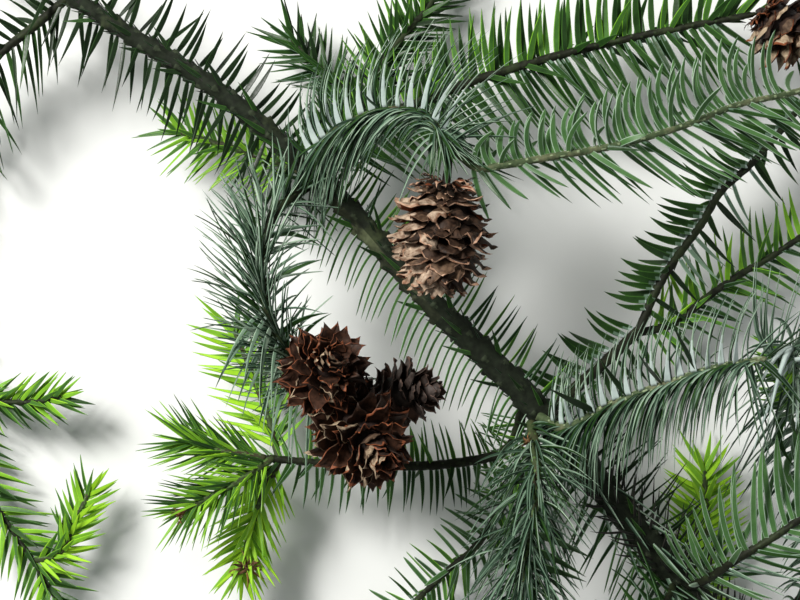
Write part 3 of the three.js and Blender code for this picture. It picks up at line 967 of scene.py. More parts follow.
@dataclass(frozen=True)
class Spray:
    """One spray: the route of its twig and how its leaves are dealt out along it.

    The comb draws them to its two sides, dense says how many stand there, fill how long they are at its
    foot, middle and end, and loose how unevenly they stand.
    """

    name: str
    mass: Mass
    twig: Twig
    comb: float
    dense: float
    radius: Pair
    route: tuple[Point, ...]
    left: Side
    right: Side
    fill: Point = (0.8, 1.0, 0.9)
    loose: float = 1.0

    def grow(self, route: Route, random: Random) -> tuple[Leaves, Array, Array]:
        """Deal the leaves out in a spiral round the twig, combed towards its two sides.

        Args:
            route: The twig's centre line.
            random: The spray's own random numbers.

        Returns:
            The leaves, with their places along the twig and their angles round it.
        """
        count = round(route.length * (1.0 - BARE_FOOT) * self.dense / LEAF_SPACING)
        turns = np.arange(count)
        share = BARE_FOOT + (1.0 - BARE_FOOT) * (turns + NEEDLE_PLACE) / count
        along, side, top = route.frames(share)
        turn = turns * GOLDEN_ANGLE + random.uniform(-0.5, 0.5, count) * ANGLE_JITTER
        angle = turn - 0.5 * self.comb * np.sin(2.0 * turn)
        rightness = 0.5 + 0.5 * np.cos(angle)
        on_right = rightness > 0.5
        tipness = np.maximum(0.0, (share - TIP_STRETCH) / (1.0 - TIP_STRETCH))
        lean = between(self.left.lean, self.right.lean, rightness)
        laid = np.where(lean > 90.0, BACK_LAID, TOP_LAID) * np.sin(angle) ** 2
        lean = between(lean, np.where(lean > 90.0, 180.0, 0.0), laid)
        lean_jitter = random.normal(0.0, LEAN_JITTER * self.loose, count)
        lean = np.radians(between(lean, TIP_LEAN, tipness) + lean_jitter)
        fill = np.interp(share, (0.0, 0.5, 1.0), self.fill)
        fill = fill * (1.0 - TOP_SHORT * self.comb ** 2 * np.sin(angle) ** 4)
        jitter = 1.0 + random.uniform(-1.0, 1.0, count) * LENGTH_JITTER
        outward = turned(side, top, angle)
        direction = turned(along, outward, lean)
        facing = top + along * random.uniform(*BLADE_TWIST, count)[:, None]
        roll = pick(on_right, self.left.roll, self.right.roll) * np.where(on_right, 1.0, -1.0)
        roll = np.radians(roll + random.normal(0.0, ROLL_JITTER * self.loose, count))
        bow = pick(on_right, self.left.bow, self.right.bow) * random.uniform(*BOW_RANGE, count)
        curl = random.normal(0.0, CURL_JITTER * self.loose, (count, 3))
        uneven = 1.0 + random.uniform(-1.0, 1.0, (count, 1)) * PULL_JITTER * self.loose
        left_kind, left_width = self.left.dealt(count, random)
        right_kind, right_width = self.right.dealt(count, random)
        kind = np.where(on_right, right_kind, left_kind)
        kinds = tuple(Leaf)
        kind[(kind == kinds.index(Leaf.SILVERED)) & (tipness > 0.0)] = kinds.index(Leaf.STRAND)
        pull = between(np.array(self.left.pull), np.array(self.right.pull), rightness[:, None])
        leaves = Leaves(
            root=route.at(share),
            direction=direction,
            long=between(self.left.long / MM, self.right.long / MM, rightness) * fill * jitter,
            pull=pull * uneven,
            bow=along * bow[:, None] + curl,
            facing=rolled(direction, facing, roll),
            width=np.where(on_right, right_width, left_width),
            kind=kind,
        )
        stands = random.random(count) < pick(on_right, self.left.kept, self.right.kept)
        bare = random.random(count) < self.comb ** 2
        return leaves.kept(stands & ~(bare & (np.sin(angle) > TOP_LIMIT))), share, angle


@dataclass(frozen=True)
class Row:
    """Leaves along one side of a stem, between two shares of its length.

    They stand about an angle round it in degrees, within a spread in radians, and all turn towards the
    heading, by its length. Only a row that may hide a cone keeps the leaves that lie over one.
    """

    name: str
    mass: Mass
    angle: float
    start: float
    end: float
    stand: Side
    spread: float = 0.75
    spacing: float = 3.0
    stem: str = "main_stem"
    hides: bool = False
    heading: Point = (0.0, 0.0, 0.0)

    def grow(self, route: Route, radius: Pair, random: Random) -> Leaves:
        """Deal the leaves out along the stem.

        Args:
            route: The stem's centre line.
            radius: Its radius at the root and at the tip, in millimetres.
            random: The row's own random numbers.

        Returns:
            The leaves.
        """
        count = round(route.length * (self.end - self.start) / (self.spacing / MM))
        turns = np.arange(count)
        share = self.start + (self.end - self.start) * (turns + 0.5) / count
        along, side, top = route.frames(share)
        angle = math.radians(self.angle) + self.spread * np.sin(turns * GOLDEN_ANGLE)
        angle = angle + random.uniform(-0.5, 0.5, count) * ANGLE_JITTER
        outward = turned(side, top, angle)
        lean = np.radians(self.stand.lean + random.normal(0.0, LEAN_JITTER, count))
        direction = unit(turned(along, outward, lean) + np.array(self.heading))
        facing = top + along * random.uniform(0.0, BLADE_TWIST[0], count)[:, None]
        roll = np.radians(self.stand.roll + random.normal(0.0, ROLL_JITTER, count))
        away = between(radius[0] / MM, radius[1] / MM, share) * ROW_ROOT
        jitter = 1.0 + random.uniform(-1.0, 1.0, count) * LENGTH_JITTER
        kind, width = self.stand.dealt(count, random)
        uneven = random.uniform(1.0 - PULL_JITTER, 1.0 + PULL_JITTER, (count, 1))
        bow = self.stand.bow * random.uniform(*BOW_RANGE, count)
        return Leaves(
            root=route.at(share) + outward * away[:, None],
            direction=direction,
            long=self.stand.long / MM * jitter,
            pull=np.array(self.stand.pull) * uneven,
            bow=along * bow[:, None],
            facing=rolled(direction, facing, roll),
            width=width,
            kind=kind,
        )


@dataclass(frozen=True)
class ScaleTones:
    """A kind of scale's tones: four steps of its outer face, its inner face, its margin.

    A scale wears one of the first three steps over its end and darker ones towards its foot, painted
    shade where the scale above overlaps it; shares are how often each of the three is dealt, and the
    light one is dealt oftener on the cone's painted lit side.
    """

    light: tuple[Colour, Colour]
    fair: tuple[Colour, Colour]
    middling: tuple[Colour, Colour]
    deep: tuple[Colour, Colour]
    inner: tuple[Colour, Colour]
    margin: tuple[Colour, Colour]
    shares: Point


class Slot(IntEnum):
    """The material slots of one kind of cone, named as the tones of its scales."""

    LIGHT = 0
    FAIR = 1
    MIDDLING = 2
    DEEP = 3
    INNER = 4
    MARGIN = 5


class ConeKind(Enum):
    """The kinds of cone on the branch, and the buds, by how weathered their scales are."""

    RIPE = ScaleTones(
        ((0.490, 0.375, 0.275), (0.150, 0.088, 0.056)), ((0.160, 0.098, 0.060), (0.034, 0.018, 0.011)),
        ((0.056, 0.031, 0.019), (0.011, 0.006, 0.004)), ((0.018, 0.010, 0.006), (0.005, 0.003, 0.002)),
        ((0.270, 0.066, 0.024), (0.070, 0.018, 0.008)), ((0.500, 0.320, 0.220), (0.160, 0.076, 0.042)),
        (0.10, 0.28, 0.62),
    )
    RED = ScaleTones(
        ((0.430, 0.330, 0.220), (0.120, 0.076, 0.050)), ((0.120, 0.076, 0.048), (0.032, 0.018, 0.012)),
        ((0.042, 0.024, 0.017), (0.014, 0.008, 0.006)), ((0.034, 0.020, 0.016), (0.013, 0.008, 0.007)),
        ((0.060, 0.026, 0.015), (0.016, 0.008, 0.005)), ((0.250, 0.078, 0.031), (0.085, 0.024, 0.011)),
        (0.16, 0.21, 0.63),
    )
    ASH = ScaleTones(
        ((0.066, 0.049, 0.042), (0.024, 0.017, 0.014)), ((0.038, 0.026, 0.021), (0.012, 0.008, 0.006)),
        ((0.026, 0.017, 0.013), (0.010, 0.006, 0.005)), ((0.024, 0.016, 0.012), (0.010, 0.007, 0.005)),
        ((0.050, 0.026, 0.017), (0.015, 0.008, 0.006)), ((0.160, 0.105, 0.084), (0.055, 0.027, 0.018)),
        (0.12, 0.28, 0.60),
    )
    BUD = ScaleTones(
        ((0.420, 0.200, 0.080), (0.200, 0.085, 0.032)), ((0.300, 0.140, 0.058), (0.130, 0.056, 0.023)),
        ((0.190, 0.090, 0.040), (0.080, 0.035, 0.016)), ((0.100, 0.050, 0.026), (0.035, 0.017, 0.010)),
        ((0.220, 0.110, 0.050), (0.090, 0.040, 0.020)), ((0.340, 0.190, 0.095), (0.150, 0.070, 0.034)),
        (0.35, 0.40, 0.25),
    )

    def first(self) -> int:
        """Return the first slot of this kind among those of all kinds."""
        return tuple(ConeKind).index(self) * len(Slot)

    def shares(self, facing_light: float) -> Array:
        """Return the chances of the light, fair and middling tones, which paint light and shade on a cone.
        """
        chances = np.array(self.value.shares) * np.exp(LIT_SIDE_POWER * facing_light * np.array((1.0, 0.0, -1.0)))
        return chances / chances.sum()

    def finishes(self) -> list[ScaleFinish]:
        """Make this kind's finishes.

        Returns:
            One for each of its slots.
        """
        name = f"scale_{self.name.lower()}_"
        parts = [slot.name.lower() for slot in Slot]
        return [ScaleFinish(name + part, *getattr(self.value, part)) for part in parts]

    def dealt(self, faces: Faces, first: int, random: Random, facing_light: float = 0.0) -> Faces:
        """Deal one scale its tones.

        Args:
            faces: The scale's faces with the slots of its five parts.
            first: The first slot of this kind.
            random: The random numbers to use.
            facing_light: How far the scale faces the side and end painted as lit, from about -1 to 1.

        Returns:
            The faces with this kind's slots.
        """
        chances = self.shares(facing_light)
        outer = random.choice(len(chances), p=chances)
        margin = random.choice((Slot.MARGIN, Slot.MARGIN, outer))
        # Foot deep, waist a step darker than the end: painted shade under the scale above
        slots = np.array((outer, Slot.DEEP, Slot.INNER, margin, outer + 1)) + first
        return [(loops, slots[parts]) for loops, parts in faces]


@dataclass(frozen=True)
class ConeSize:
    """A cone's radius over its scales, and where its stalk starts, its base and its apex are.

    Its scales start between two shares of its length and lean out from its axis by the leans in degrees.
    """

    name: str
    radius: float
    stalk: Point
    base: Point
    apex: Point
    scales: int
    breadth: float
    kind: ConeKind
    leans: Series = (88.0, 72.0, 56.0, -8.0)
    places: Pair = (0.02, 0.97)
    fullness: float = 0.55

    def ends(self) -> tuple[Array, Array]:
        """Return the base and the apex in the row's frame."""
        return np.array(self.base) / MM + BRANCH_SHIFT, np.array(self.apex) / MM + BRANCH_SHIFT


@dataclass(frozen=True)
class BudSize:
    """Where a bud sits, the way it points, and the size and lean of its scales."""

    root: Point
    axis: Point
    reach: float
    width: float
    leans: Pair
    scales: int


MAIN_STEM_ROUTE = (
    (158, -166, -48), (136, -140, -36), (116, -118, -26), (84, -80, -10), (49, -38, 0), (11, 0, 3),
    (-26, 41, 1), (-66, 77, -3), (-106, 103, -10), (-152, 133, -20),
)
MAIN_STEM_RADIUS = (6.8, 2.4)
BACK_BOUGH_ROUTE = ((50, -43, 1), (61, -38, -9), (77, -25, -16), (93, -11, -23))
BACK_BOUGH_RADIUS = (2.6, 1.9)

# The pull of leaves that grow straight
STRAIGHT = (0.0, 0.0, 0.0)

# The leaves that are dealt out, with equal chances, where sprays or rows share a mixture
LEADERS = (Leaf.LEADER,)
EDGES = (Leaf.EDGED,)
GREENS = (Leaf.GREEN, Leaf.BRIGHT)
BRIGHTS = (Leaf.BRIGHT, Leaf.GREEN)
YOUNGS = (Leaf.YOUNG, Leaf.BRIGHT)
SILVERS = (Leaf.SILVERED,)
RISING = (Leaf.STRAND, Leaf.GREY, Leaf.WISP)
STRANDS = (Leaf.STRAND, Leaf.WISP, Leaf.SHADE, Leaf.GREY, Leaf.STRAND)
GLAUCOUS = (
    Leaf.STRAND, Leaf.WISP, Leaf.GREY, Leaf.BLUE, Leaf.GREY, Leaf.STRAND, Leaf.SHADE, Leaf.EDGED_DARK,
)
FALLS = (Leaf.GREY, Leaf.BLUE, Leaf.PALE, Leaf.STRAND, Leaf.PALE, Leaf.WISP)

# Rows on the main stem: 0 degrees is its right side as it grows, 90 its top and 180 its left
ROWS = (
    Row("butt_needles_below", Mass.GREEN, 180, 0.045, 0.16,
        Side(22, 84, (0, -0.1, 0), (Leaf.EDGED_DARK,), -20, 1.8)),
    Row("foot_needles_above", Mass.DARK, 0, 0.18, 0.34,
        Side(24, 84, (0, 0.04, 0), LEADERS, 20, 1.3, 0.04), spread=0.6, spacing=2.4),
    Row("foot_needles_below", Mass.GREEN, 180, 0.17, 0.34,
        Side(21.5, 108, (0, -0.25, 0), (Leaf.EDGED_DARK, Leaf.FALLING), -25, 1.8, 0.04), spread=0.5,
        spacing=2.6),
    Row("middle_needles_above", Mass.DARK, 0, 0.375, 0.655,
        Side(19, 80, (0, 0.05, 0), (Leaf.EDGED_DARK, Leaf.GREEN), 20, 1.4, 0.04), spread=0.5, spacing=2.7),
    Row("middle_needles_below", Mass.GREEN, 180, 0.375, 0.65,
        Side(11.8, 88, (0, -0.9, 0), (Leaf.FALLING,), -30, 2, 0), spread=0.35, spacing=3),
    Row("leader_needles_above", Mass.DARK, 0, 0.68, 0.985,
        Side(20, 88, STRAIGHT, LEADERS, 15, 2), spread=0.55, spacing=3.4),
    Row("leader_needles_below", Mass.DARK, 180, 0.68, 0.95,
        Side(22.5, 106, (0, -0.12, 0), LEADERS, -15, 1.9), spread=0.55, spacing=3.2),
)

# What lies on the stems besides. On the main stem: leaves and their stubs over the top, dead and pale
# leaves at the foot. On the sprays: crests of strands over the twig, silver blades and strands that rise
# from it, broad dark or blue blades here and there, and blades that hang. On the bough: its leaves. Then
# the tuft round the single cone's stalk, and the curled, rising and small leaves of the spray that faces
# the viewer.
EXTRA_ROWS = (
    Row("top_leaves", Mass.DARK, 95, 0.16, 0.96,
        Side(13, 30, STRAIGHT, (Leaf.LEADER, Leaf.DARK), 0, 1.8), spread=1.2, spacing=8),
    Row("stubs", Mass.DARK, 90, 0.02, 0.96,
        Side(5.8, 24, STRAIGHT, (Leaf.STUB,), 0, 1.7), spread=1.7, spacing=1.7),
    Row("dead_leaves", Mass.DARK, 60, 0.01, 0.3,
        Side(18, 44, (0.05, 0.05, -0.1), (Leaf.DEAD, Leaf.DEAD, Leaf.STUB), 0, 1.1), spread=1.5, spacing=1),
    Row("foot_glints", Mass.DARK, 100, 0.12, 0.31,
        Side(16, 146, (0.16, -0.24, 0.12), (Leaf.GREY, Leaf.STRAND), 30, 3.4), spread=1.1, spacing=3.8),
    Row("arching_crest", Mass.GLAUCOUS, 58, 0.12, 0.93,
        Side(20, 160, (0.06, -0.84, -0.3), STRANDS, 30, 2.4, 0.04), spread=0.9, spacing=1.3,
        stem="arching_spray"),
    Row("pale_crest", Mass.GLAUCOUS, 58, 0.08, 0.96,
        Side(18, 166, (0.32, -1, -0.3), STRANDS, 30, 2.4, 0.04), spread=0.8, spacing=1.1,
        stem="pale_spray"),
    Row("arching_silver", Mass.GLAUCOUS, 140, 0.12, 0.93,
        Side(26, 80, (0.34, 0.06, 0), SILVERS, 6, 2.5, 0.1), spread=0.16, spacing=4.7, stem="arching_spray",
        heading=(-0.15, 1.5, 0)),
    Row("arching_rise", Mass.GLAUCOUS, 150, 0.12, 0.93,
        Side(28, 80, (0.42, 0.06, -0.1), RISING, 20, 1.6, 0.12), spread=0.35, spacing=2.2,
        stem="arching_spray", heading=(-0.15, 1.3, 0)),
    Row("arching_fan", Mass.GLAUCOUS, 150, 0.78, 0.98,
        Side(30, 90, (0.06, 0.06, -0.4), RISING, 20, 1.7, 0.12), spread=0.6, spacing=0.8,
        stem="arching_spray"),
    Row("pale_silver", Mass.GLAUCOUS, 138, 0.08, 0.9,
        Side(23, 84, (0.12, 0.04, 0), SILVERS, 6, 2.6, 0.1), spread=0.16, spacing=5, stem="pale_spray",
        heading=(0, 1.5, 0)),
    Row("pale_rise", Mass.GLAUCOUS, 146, 0.06, 0.94,
        Side(26, 84, (0.3, 0.02, -0.1), RISING, 20, 1.6, 0.12), spread=0.35, spacing=2.4, stem="pale_spray",
        heading=(0, 1.3, 0)),
    Row("pale_broad", Mass.GLAUCOUS, 140, 0.25, 0.8,
        Side(21, 96, STRAIGHT, LEADERS, 20, 2.7, 0.1), spread=0.12, spacing=14, stem="pale_spray"),
    Row("hanging_crest", Mass.GLAUCOUS, 90, 0.04, 0.96,
        Side(28, 34, (0.16, -0.1, -0.35), STRANDS, 30, 2.6, 0.3), spread=1.4, spacing=1.6,
        stem="hanging_spray"),
    Row("drooping_crest", Mass.GLAUCOUS, 60, 0.34, 0.98,
        Side(30, 142, (-0.04, 0, -0.3), STRANDS, 30, 2, 0.26), spread=1.4, spacing=0.8,
        stem="drooping_spray"),
    Row("hanging_blades", Mass.GLAUCOUS, 25, 0.56, 0.94,
        Side(25, 74, (0.1, -0.45, -0.1), (Leaf.PALE, Leaf.BLUE, Leaf.GREY), 30, 2.4), spread=0.7,
        spacing=2.1, stem="drooping_spray"),
    Row("inner_blades", Mass.GLAUCOUS, 180, 0.26, 0.9,
        Side(24, 114, STRAIGHT, (Leaf.BLUE,), 20, 2.1, 0.14), spread=0.6, spacing=8.5,
        stem="drooping_spray"),
    Row("hanging_dark", Mass.GLAUCOUS, 160, 0.48, 0.66,
        Side(22, 76, (0.05, -0.05, 0), LEADERS, 12, 2.8), spread=0.2, spacing=6, stem="hanging_spray"),
    Row("bough_leaves", Mass.DARK, 180, 0.28, 1,
        Side(18, 112, (0, 0.04, 0), (Leaf.GLINT,), -10, 3, 0.26), spread=0.4, spacing=4.2,
        stem="back_bough"),
    Row("bough_needles", Mass.DARK, 0, 0.35, 1,
        Side(18, 98, (0, -0.05, 0), (Leaf.LEADER, Leaf.DARK), 20, 2.2), spread=0.5, spacing=6,
        stem="back_bough"),
    Row("stalk_tuft", Mass.GLAUCOUS, 90, 0.86, 1,
        Side(12, 40, (0, -0.16, 0.1), (Leaf.EDGED_DARK, Leaf.STRAND, Leaf.WISP), 20, 2.2), spread=1.9,
        spacing=0.22, stem="arching_spray", hides=True),
    Row("curled_leaves", Mass.GLAUCOUS, 158, 0.5, 0.8,
        Side(33, 90, (1.02, -0.36, 0), (Leaf.EDGED, Leaf.GLINT), 15, 3.2), spread=0.2, spacing=5.6,
        stem="facing_spray"),
    Row("rising_strands", Mass.GLAUCOUS, 150, 0.84, 1,
        Side(36, 70, (0.75, 1.35, -0.2), (Leaf.PALE, Leaf.STRAND, Leaf.BLUE), 15, 2.2), spread=0.6,
        spacing=1.1, stem="facing_spray"),
    Row("facing_small_leaves", Mass.GLAUCOUS, 180, 0.74, 0.96,
        Side(15, 72, (-0.1, 0.05, 0.1), (Leaf.GREEN, Leaf.BRIGHT, Leaf.EDGED), 25, 1.9), spread=0.9,
        spacing=1, stem="facing_spray"),
)

SPRAYS = (
    Spray("arching_spray", Mass.GLAUCOUS, Twig.GREEN, comb=0.62, dense=2.7, radius=(2, 1.4),
        fill=(0.8, 1, 0.85), loose=1.2,
        route=((-35, 47, 2), (-29, 57, 14), (-18, 64, 26), (-3, 68, 33), (10, 65, 37), (18, 52, 38)),
        left=Side(28, 78, (0.34, 0.12, -0.25), STRANDS, 14, 2.2, 0.24, kept=0.36),
        right=Side(21, 156, (0.1, -0.86, 0), STRANDS, 55, 2.4, 0.04)),
    Spray("green_spray", Mass.GREEN, Twig.PALE, comb=0.85, dense=1.35, radius=(1.5, 1.1),
        fill=(0.45, 0.95, 1), loose=0.6,
        route=((17, 55, 36), (28, 47, 36), (36, 48, 36), (58, 52, 33), (79, 56, 29), (102, 63, 22),
            (125, 72, 14), (149, 78, 6), (163, 85, 2)),
        left=Side(24.5, 92, (0.12, 0, 0), EDGES, 16, 2.3, 0.52),
        right=Side(31, 46, (0.06, -0.14, 0), (Leaf.EDGED, Leaf.EDGED_DARK), 25, 1.9, 0.2, kept=0.65)),
    Spray("pale_spray", Mass.GLAUCOUS, Twig.PALE, comb=0.62, dense=2.6, radius=(2.2, 1.2),
        fill=(0.9, 1, 0.9), loose=1.1,
        route=((51, -43, 2), (61, -47, 14), (77, -38, 24), (94, -31, 30), (111, -25, 32), (132, -21, 30)),
        left=Side(26, 66, (0.14, 0.12, -0.3), STRANDS, 14, 2.2, 0.24, kept=0.28),
        right=Side(21, 162, (0.32, -0.98, 0), STRANDS, 50, 2.4, 0.04)),
    Spray("drooping_spray", Mass.GLAUCOUS, Twig.DARK, comb=0.45, dense=3.2, radius=(2.4, 1.4),
        fill=(0.75, 1, 0.75), loose=4.2,
        route=((-32, 44, 2), (-39, 39, 10), (-47, 30, 18), (-50, 16, 24), (-49, 0, 24), (-43, -16, 18),
            (-31, -29, 10), (-20, -35, 8)),
        left=Side(23, 132, (0.1, -0.22, 0), GLAUCOUS, 55, 2, 0.18, kept=0.5),
        right=Side(31, 128, (0.08, 0.16, 0), GLAUCOUS, 40, 2, 0.16)),
    Spray("hanging_spray", Mass.GLAUCOUS, Twig.GREEN, comb=0.35, dense=3.6, radius=(2.2, 1.1),
        fill=(0.85, 1, 0.8), loose=3.2,
        route=((49, -46, 2), (50, -57, 14), (49, -73, 24), (46, -89, 28), (44, -108, 29), (41, -128, 27)),
        left=Side(26, 56, (-0.05, -0.16, 0), STRANDS, 35, 2.6, 0.3),
        right=Side(29, 60, (0.05, -0.34, 0), STRANDS, 50, 2.6, 0.24)),
    Spray("low_spray", Mass.GREEN, Twig.DARK, comb=0.85, dense=0.95, radius=(2.2, 1.1), fill=(0.85, 1, 0.8),
        loose=0.7,
        route=((110, -111, -22), (116, -105, -4), (126, -95, 10), (138, -87, 14), (151, -78, 14),
            (165, -70, 12)),
        left=Side(32, 60, (-0.04, 0.04, 0), EDGES, 15, 2.4, 0.26),
        right=Side(31, 40, (0, -0.1, 0), (Leaf.EDGED, Leaf.EDGED_DARK, Leaf.BLUE), 22, 2.1, 0.3)),
    Spray("low_left_spray", Mass.GREEN, Twig.DARK, comb=0.75, dense=0.9, radius=(1.7, 1),
        fill=(0.9, 1, 0.7),
        route=((106, -107, -20), (101, -113, -6), (94, -119, 4), (86, -125, 6)),
        left=Side(20, 58, STRAIGHT, (Leaf.EDGED_DARK,), 10, 2.2),
        right=Side(27, 96, STRAIGHT, (Leaf.EDGED_DARK, Leaf.DARK), 30, 2.2)),
    Spray("long_spray", Mass.DARK, Twig.DARK, comb=0.92, dense=1.45, radius=(2.4, 1.3),
        fill=(0.75, 1, 0.85), loose=0.6,
        route=((-33, 48, -1), (-13, 66, -14), (16, 80, -22), (48, 91, -24), (93, 102, -22),
            (137, 110, -18)),
        left=Side(26, 80, (0.04, 0, 0), (Leaf.DARK, Leaf.DARK, Leaf.GREEN), 14, 2.5),
        right=Side(33, 70, (0, -0.06, 0), (Leaf.DARK, Leaf.EDGED_DARK), 32, 2.1)),
    Spray("dark_spray", Mass.DARK, Twig.DARK, comb=0.85, dense=1, radius=(2, 1.2), fill=(0.9, 1, 0.8),
        loose=0.7,
        route=((92, -12, -22), (99, 4, -22), (105, 14, -22), (116, 29, -22), (124, 42, -22), (135, 52, -22),
            (151, 70, -24), (163, 86, -26)),
        left=Side(18.5, 106, (0, 0.04, 0), (Leaf.GLINT,), 10, 3.1, 0.26),
        right=Side(20, 100, (0.05, -0.05, 0), (Leaf.LEADER, Leaf.BLUE, Leaf.DARK), 30, 2.4, kept=0.6)),
    Spray("middle_spray", Mass.GREEN, Twig.DARK, comb=0.8, dense=0.95, radius=(1.9, 1.1),
        fill=(0.85, 1, 0.8),
        route=((91, -13, -24), (107, -9, -30), (120, 1, -32), (133, 10, -32), (145, 17, -31),
            (157, 25, -30), (172, 34, -30)),
        left=Side(22, 68, (0, 0.05, 0), BRIGHTS, 25, 2),
        right=Side(22, 54, (0, -0.15, 0), (Leaf.GREEN, Leaf.EDGED_DARK), 20, 2)),
    Spray("left_spray", Mass.DARK, Twig.DARK, comb=0.92, dense=1.25, radius=(2.3, 1.5), fill=(0.9, 1, 0.95),
        loose=0.6,
        route=((47, -38, -2), (41, -57, -16), (21, -63, -22), (-16, -64, -24), (-53, -61, -22)),
        left=Side(18, 88, (0, -0.04, 0), (Leaf.EDGED_DARK, Leaf.DARK), 30, 1.6),
        right=Side(16, 86, (0, 0.04, 0), (Leaf.GREEN, Leaf.FALLING), 30, 1.6)),
    Spray("under_spray", Mass.DARK, Twig.DARK, comb=0.7, dense=0.95, radius=(2.1, 1.1), fill=(0.8, 1, 0.8),
        route=((52, -48, -3), (45, -70, -24), (30, -96, -33), (19, -106, -36), (8, -117, -39),
            (-6, -131, -42)),
        left=Side(21, 54, STRAIGHT, (Leaf.GREEN, Leaf.EDGED_DARK), 15, 2.1),
        right=Side(18, 90, STRAIGHT, (Leaf.GREEN, Leaf.EDGED, Leaf.GLINT), 15, 2.1)),
    Spray("far_spray", Mass.DARK, Twig.DARK, comb=0.7, dense=1.7, radius=(2, 1.1), fill=(0.7, 1, 0.85),
        route=((-30, 43, -2), (-15, 73, -22), (-6, 94, -32), (1, 103, -35), (12, 117, -39), (20, 134, -42)),
        left=Side(20, 58, STRAIGHT, (Leaf.DARK, Leaf.GREEN), 15, 2.1),
        right=Side(20, 54, STRAIGHT, (Leaf.DARK, Leaf.LEADER), 15, 2.1)),
    Spray("back_spray", Mass.DARK, Twig.DARK, comb=0.6, dense=1.7, radius=(1.8, 1),
        route=((-37, 50, -2), (-25, 66, -18), (-23, 82, -28), (-35, 94, -34), (-43, 103, -36)),
        left=Side(21, 52, STRAIGHT, (Leaf.DARK, Leaf.EDGED_DARK), 15, 2),
        right=Side(21, 52, STRAIGHT, (Leaf.DARK, Leaf.LEADER), 15, 2)),
    Spray("fresh_spray_left", Mass.FRESH, Twig.GREEN, comb=0.75, dense=1.7, radius=(1.8, 1),
        route=((-37, 48, 0), (-51, 54, -16), (-62, 58, -24), (-75, 62, -28), (-88, 66, -30)),
        left=Side(20, 56, (0, -0.1, 0), BRIGHTS, 15, 1.8),
        right=Side(18, 56, STRAIGHT, GREENS, 15, 1.8)),
    Spray("fresh_spray_right", Mass.FRESH, Twig.GREEN, comb=0.75, dense=1.6, radius=(1.7, 1),
        route=((115, -117, -26), (120, -107, -39), (122, -91, -44), (121, -67, -46)),
        left=Side(21, 56, STRAIGHT, YOUNGS, 10, 2.3),
        right=Side(19, 56, STRAIGHT, YOUNGS, 15, 2.2)),
    Spray("facing_spray", Mass.GLAUCOUS, Twig.DARK, comb=0.15, dense=1.9, radius=(2.3, 1.2),
        fill=(0.45, 0.5, 1.15), loose=1.6,
        route=((135, -139, -36), (155, -121, -36), (164, -93, -31), (158, -61, -22), (152, -38, -10),
            (147, -24, 6), (144, -17, 18)),
        left=Side(30, 74, (-0.02, -1, -0.4), FALLS, 45, 2.6, kept=0.7),
        right=Side(24, 62, (0.05, -0.3, 0), FALLS, 45, 2.2)),
    Spray("shoot_left", Mass.GREEN, Twig.GREEN, comb=0.5, dense=3, radius=(1.4, 1), fill=(0.8, 1, 1),
        route=((-52, -61, -22), (-61, -59, -21), (-69, -58, -20), (-82, -54, -20)),
        left=Side(21, 40, STRAIGHT, GREENS, 15, 1.3),
        right=Side(21, 42, STRAIGHT, (Leaf.DARK, Leaf.GREEN, Leaf.BRIGHT), 15, 1.3)),
    Spray("shoot_low_left", Mass.GREEN, Twig.GREEN, comb=0.5, dense=2.8, radius=(1.4, 1),
        route=((-49, -61, -22), (-58, -67, -15), (-65, -71, -12), (-82, -80, -8)),
        left=Side(20, 44, (0, -0.1, 0), BRIGHTS, 15, 1.3),
        right=Side(21, 42, STRAIGHT, (Leaf.BRIGHT, Leaf.GREEN, Leaf.DARK), 15, 1.3)),
    Spray("shoot_down", Mass.FRESH, Twig.GREEN, comb=0.45, dense=1.8, radius=(1.5, 1.1), fill=(0.8, 1, 0.8),
        route=((-46, -61, -23), (-53, -75, -28), (-58, -89, -30), (-62, -107, -30)),
        left=Side(21, 48, (0, -0.05, 0), YOUNGS, 15, 2.1),
        right=Side(21, 48, (0, -0.05, 0), YOUNGS, 15, 2.1)),
    Spray("shoot_up", Mass.FRESH, Twig.GREEN, comb=0.65, dense=1.4, radius=(1.5, 1), fill=(0.9, 1, 0.9),
        route=((-47, -61, -23), (-51, -47, -28), (-57, -31, -32), (-65, -12, -34)),
        left=Side(22, 58, (-0.05, 0, 0), (Leaf.BRIGHT, Leaf.YOUNG), 15, 2.3),
        right=Side(18, 52, STRAIGHT, BRIGHTS, 15, 2.1)),
    Spray("corner_spray", Mass.DARK, Twig.DARK, comb=0.75, dense=0.95, radius=(2, 1.6), fill=(0.8, 1, 1),
        route=((-126, 116, -14), (-141, 105, -19), (-158, 92, -24), (-172, 73, -30), (-179, 50, -35)),
        left=Side(25, 66, (0, -0.25, 0), (Leaf.LEADER, Leaf.DARK), 20, 2),
        right=Side(19, 70, STRAIGHT, LEADERS, 15, 2)),
    Spray("side_spray", Mass.DARK, Twig.DARK, comb=0.7, dense=1.1, radius=(1.6, 1.4), fill=(0.9, 1, 1),
        route=((-179, 50, -35), (-184, 20, -40), (-183, -11, -43), (-177, -36, -43)),
        left=Side(20, 58, STRAIGHT, (Leaf.GREEN, Leaf.DARK), 20, 2),
        right=Side(19, 58, STRAIGHT, (Leaf.GREEN, Leaf.DARK), 20, 2)),
    Spray("drop_spray", Mass.DARK, Twig.DARK, comb=0.65, dense=1.2, radius=(1.4, 1), fill=(0.9, 1, 0.9),
        route=((-177, -36, -43), (-170, -58, -42), (-161, -79, -41), (-144, -104, -39), (-134, -120, -38)),
        left=Side(21, 52, STRAIGHT, (Leaf.GREEN, Leaf.BRIGHT, Leaf.DARK), 20, 2),
        right=Side(20, 52, STRAIGHT, GREENS, 20, 2)),
    Spray("reach_spray", Mass.GREEN, Twig.DARK, comb=0.6, dense=1.5, radius=(1.3, 1), fill=(0.7, 1, 0.9),
        route=((-180, -27, -43), (-166, -38, -39), (-146, -40, -35), (-132, -38, -32)),
        left=Side(16, 46, STRAIGHT, GREENS, 20, 1.9),
        right=Side(16, 46, STRAIGHT, (Leaf.GREEN, Leaf.BRIGHT, Leaf.DARK), 20, 1.9)),
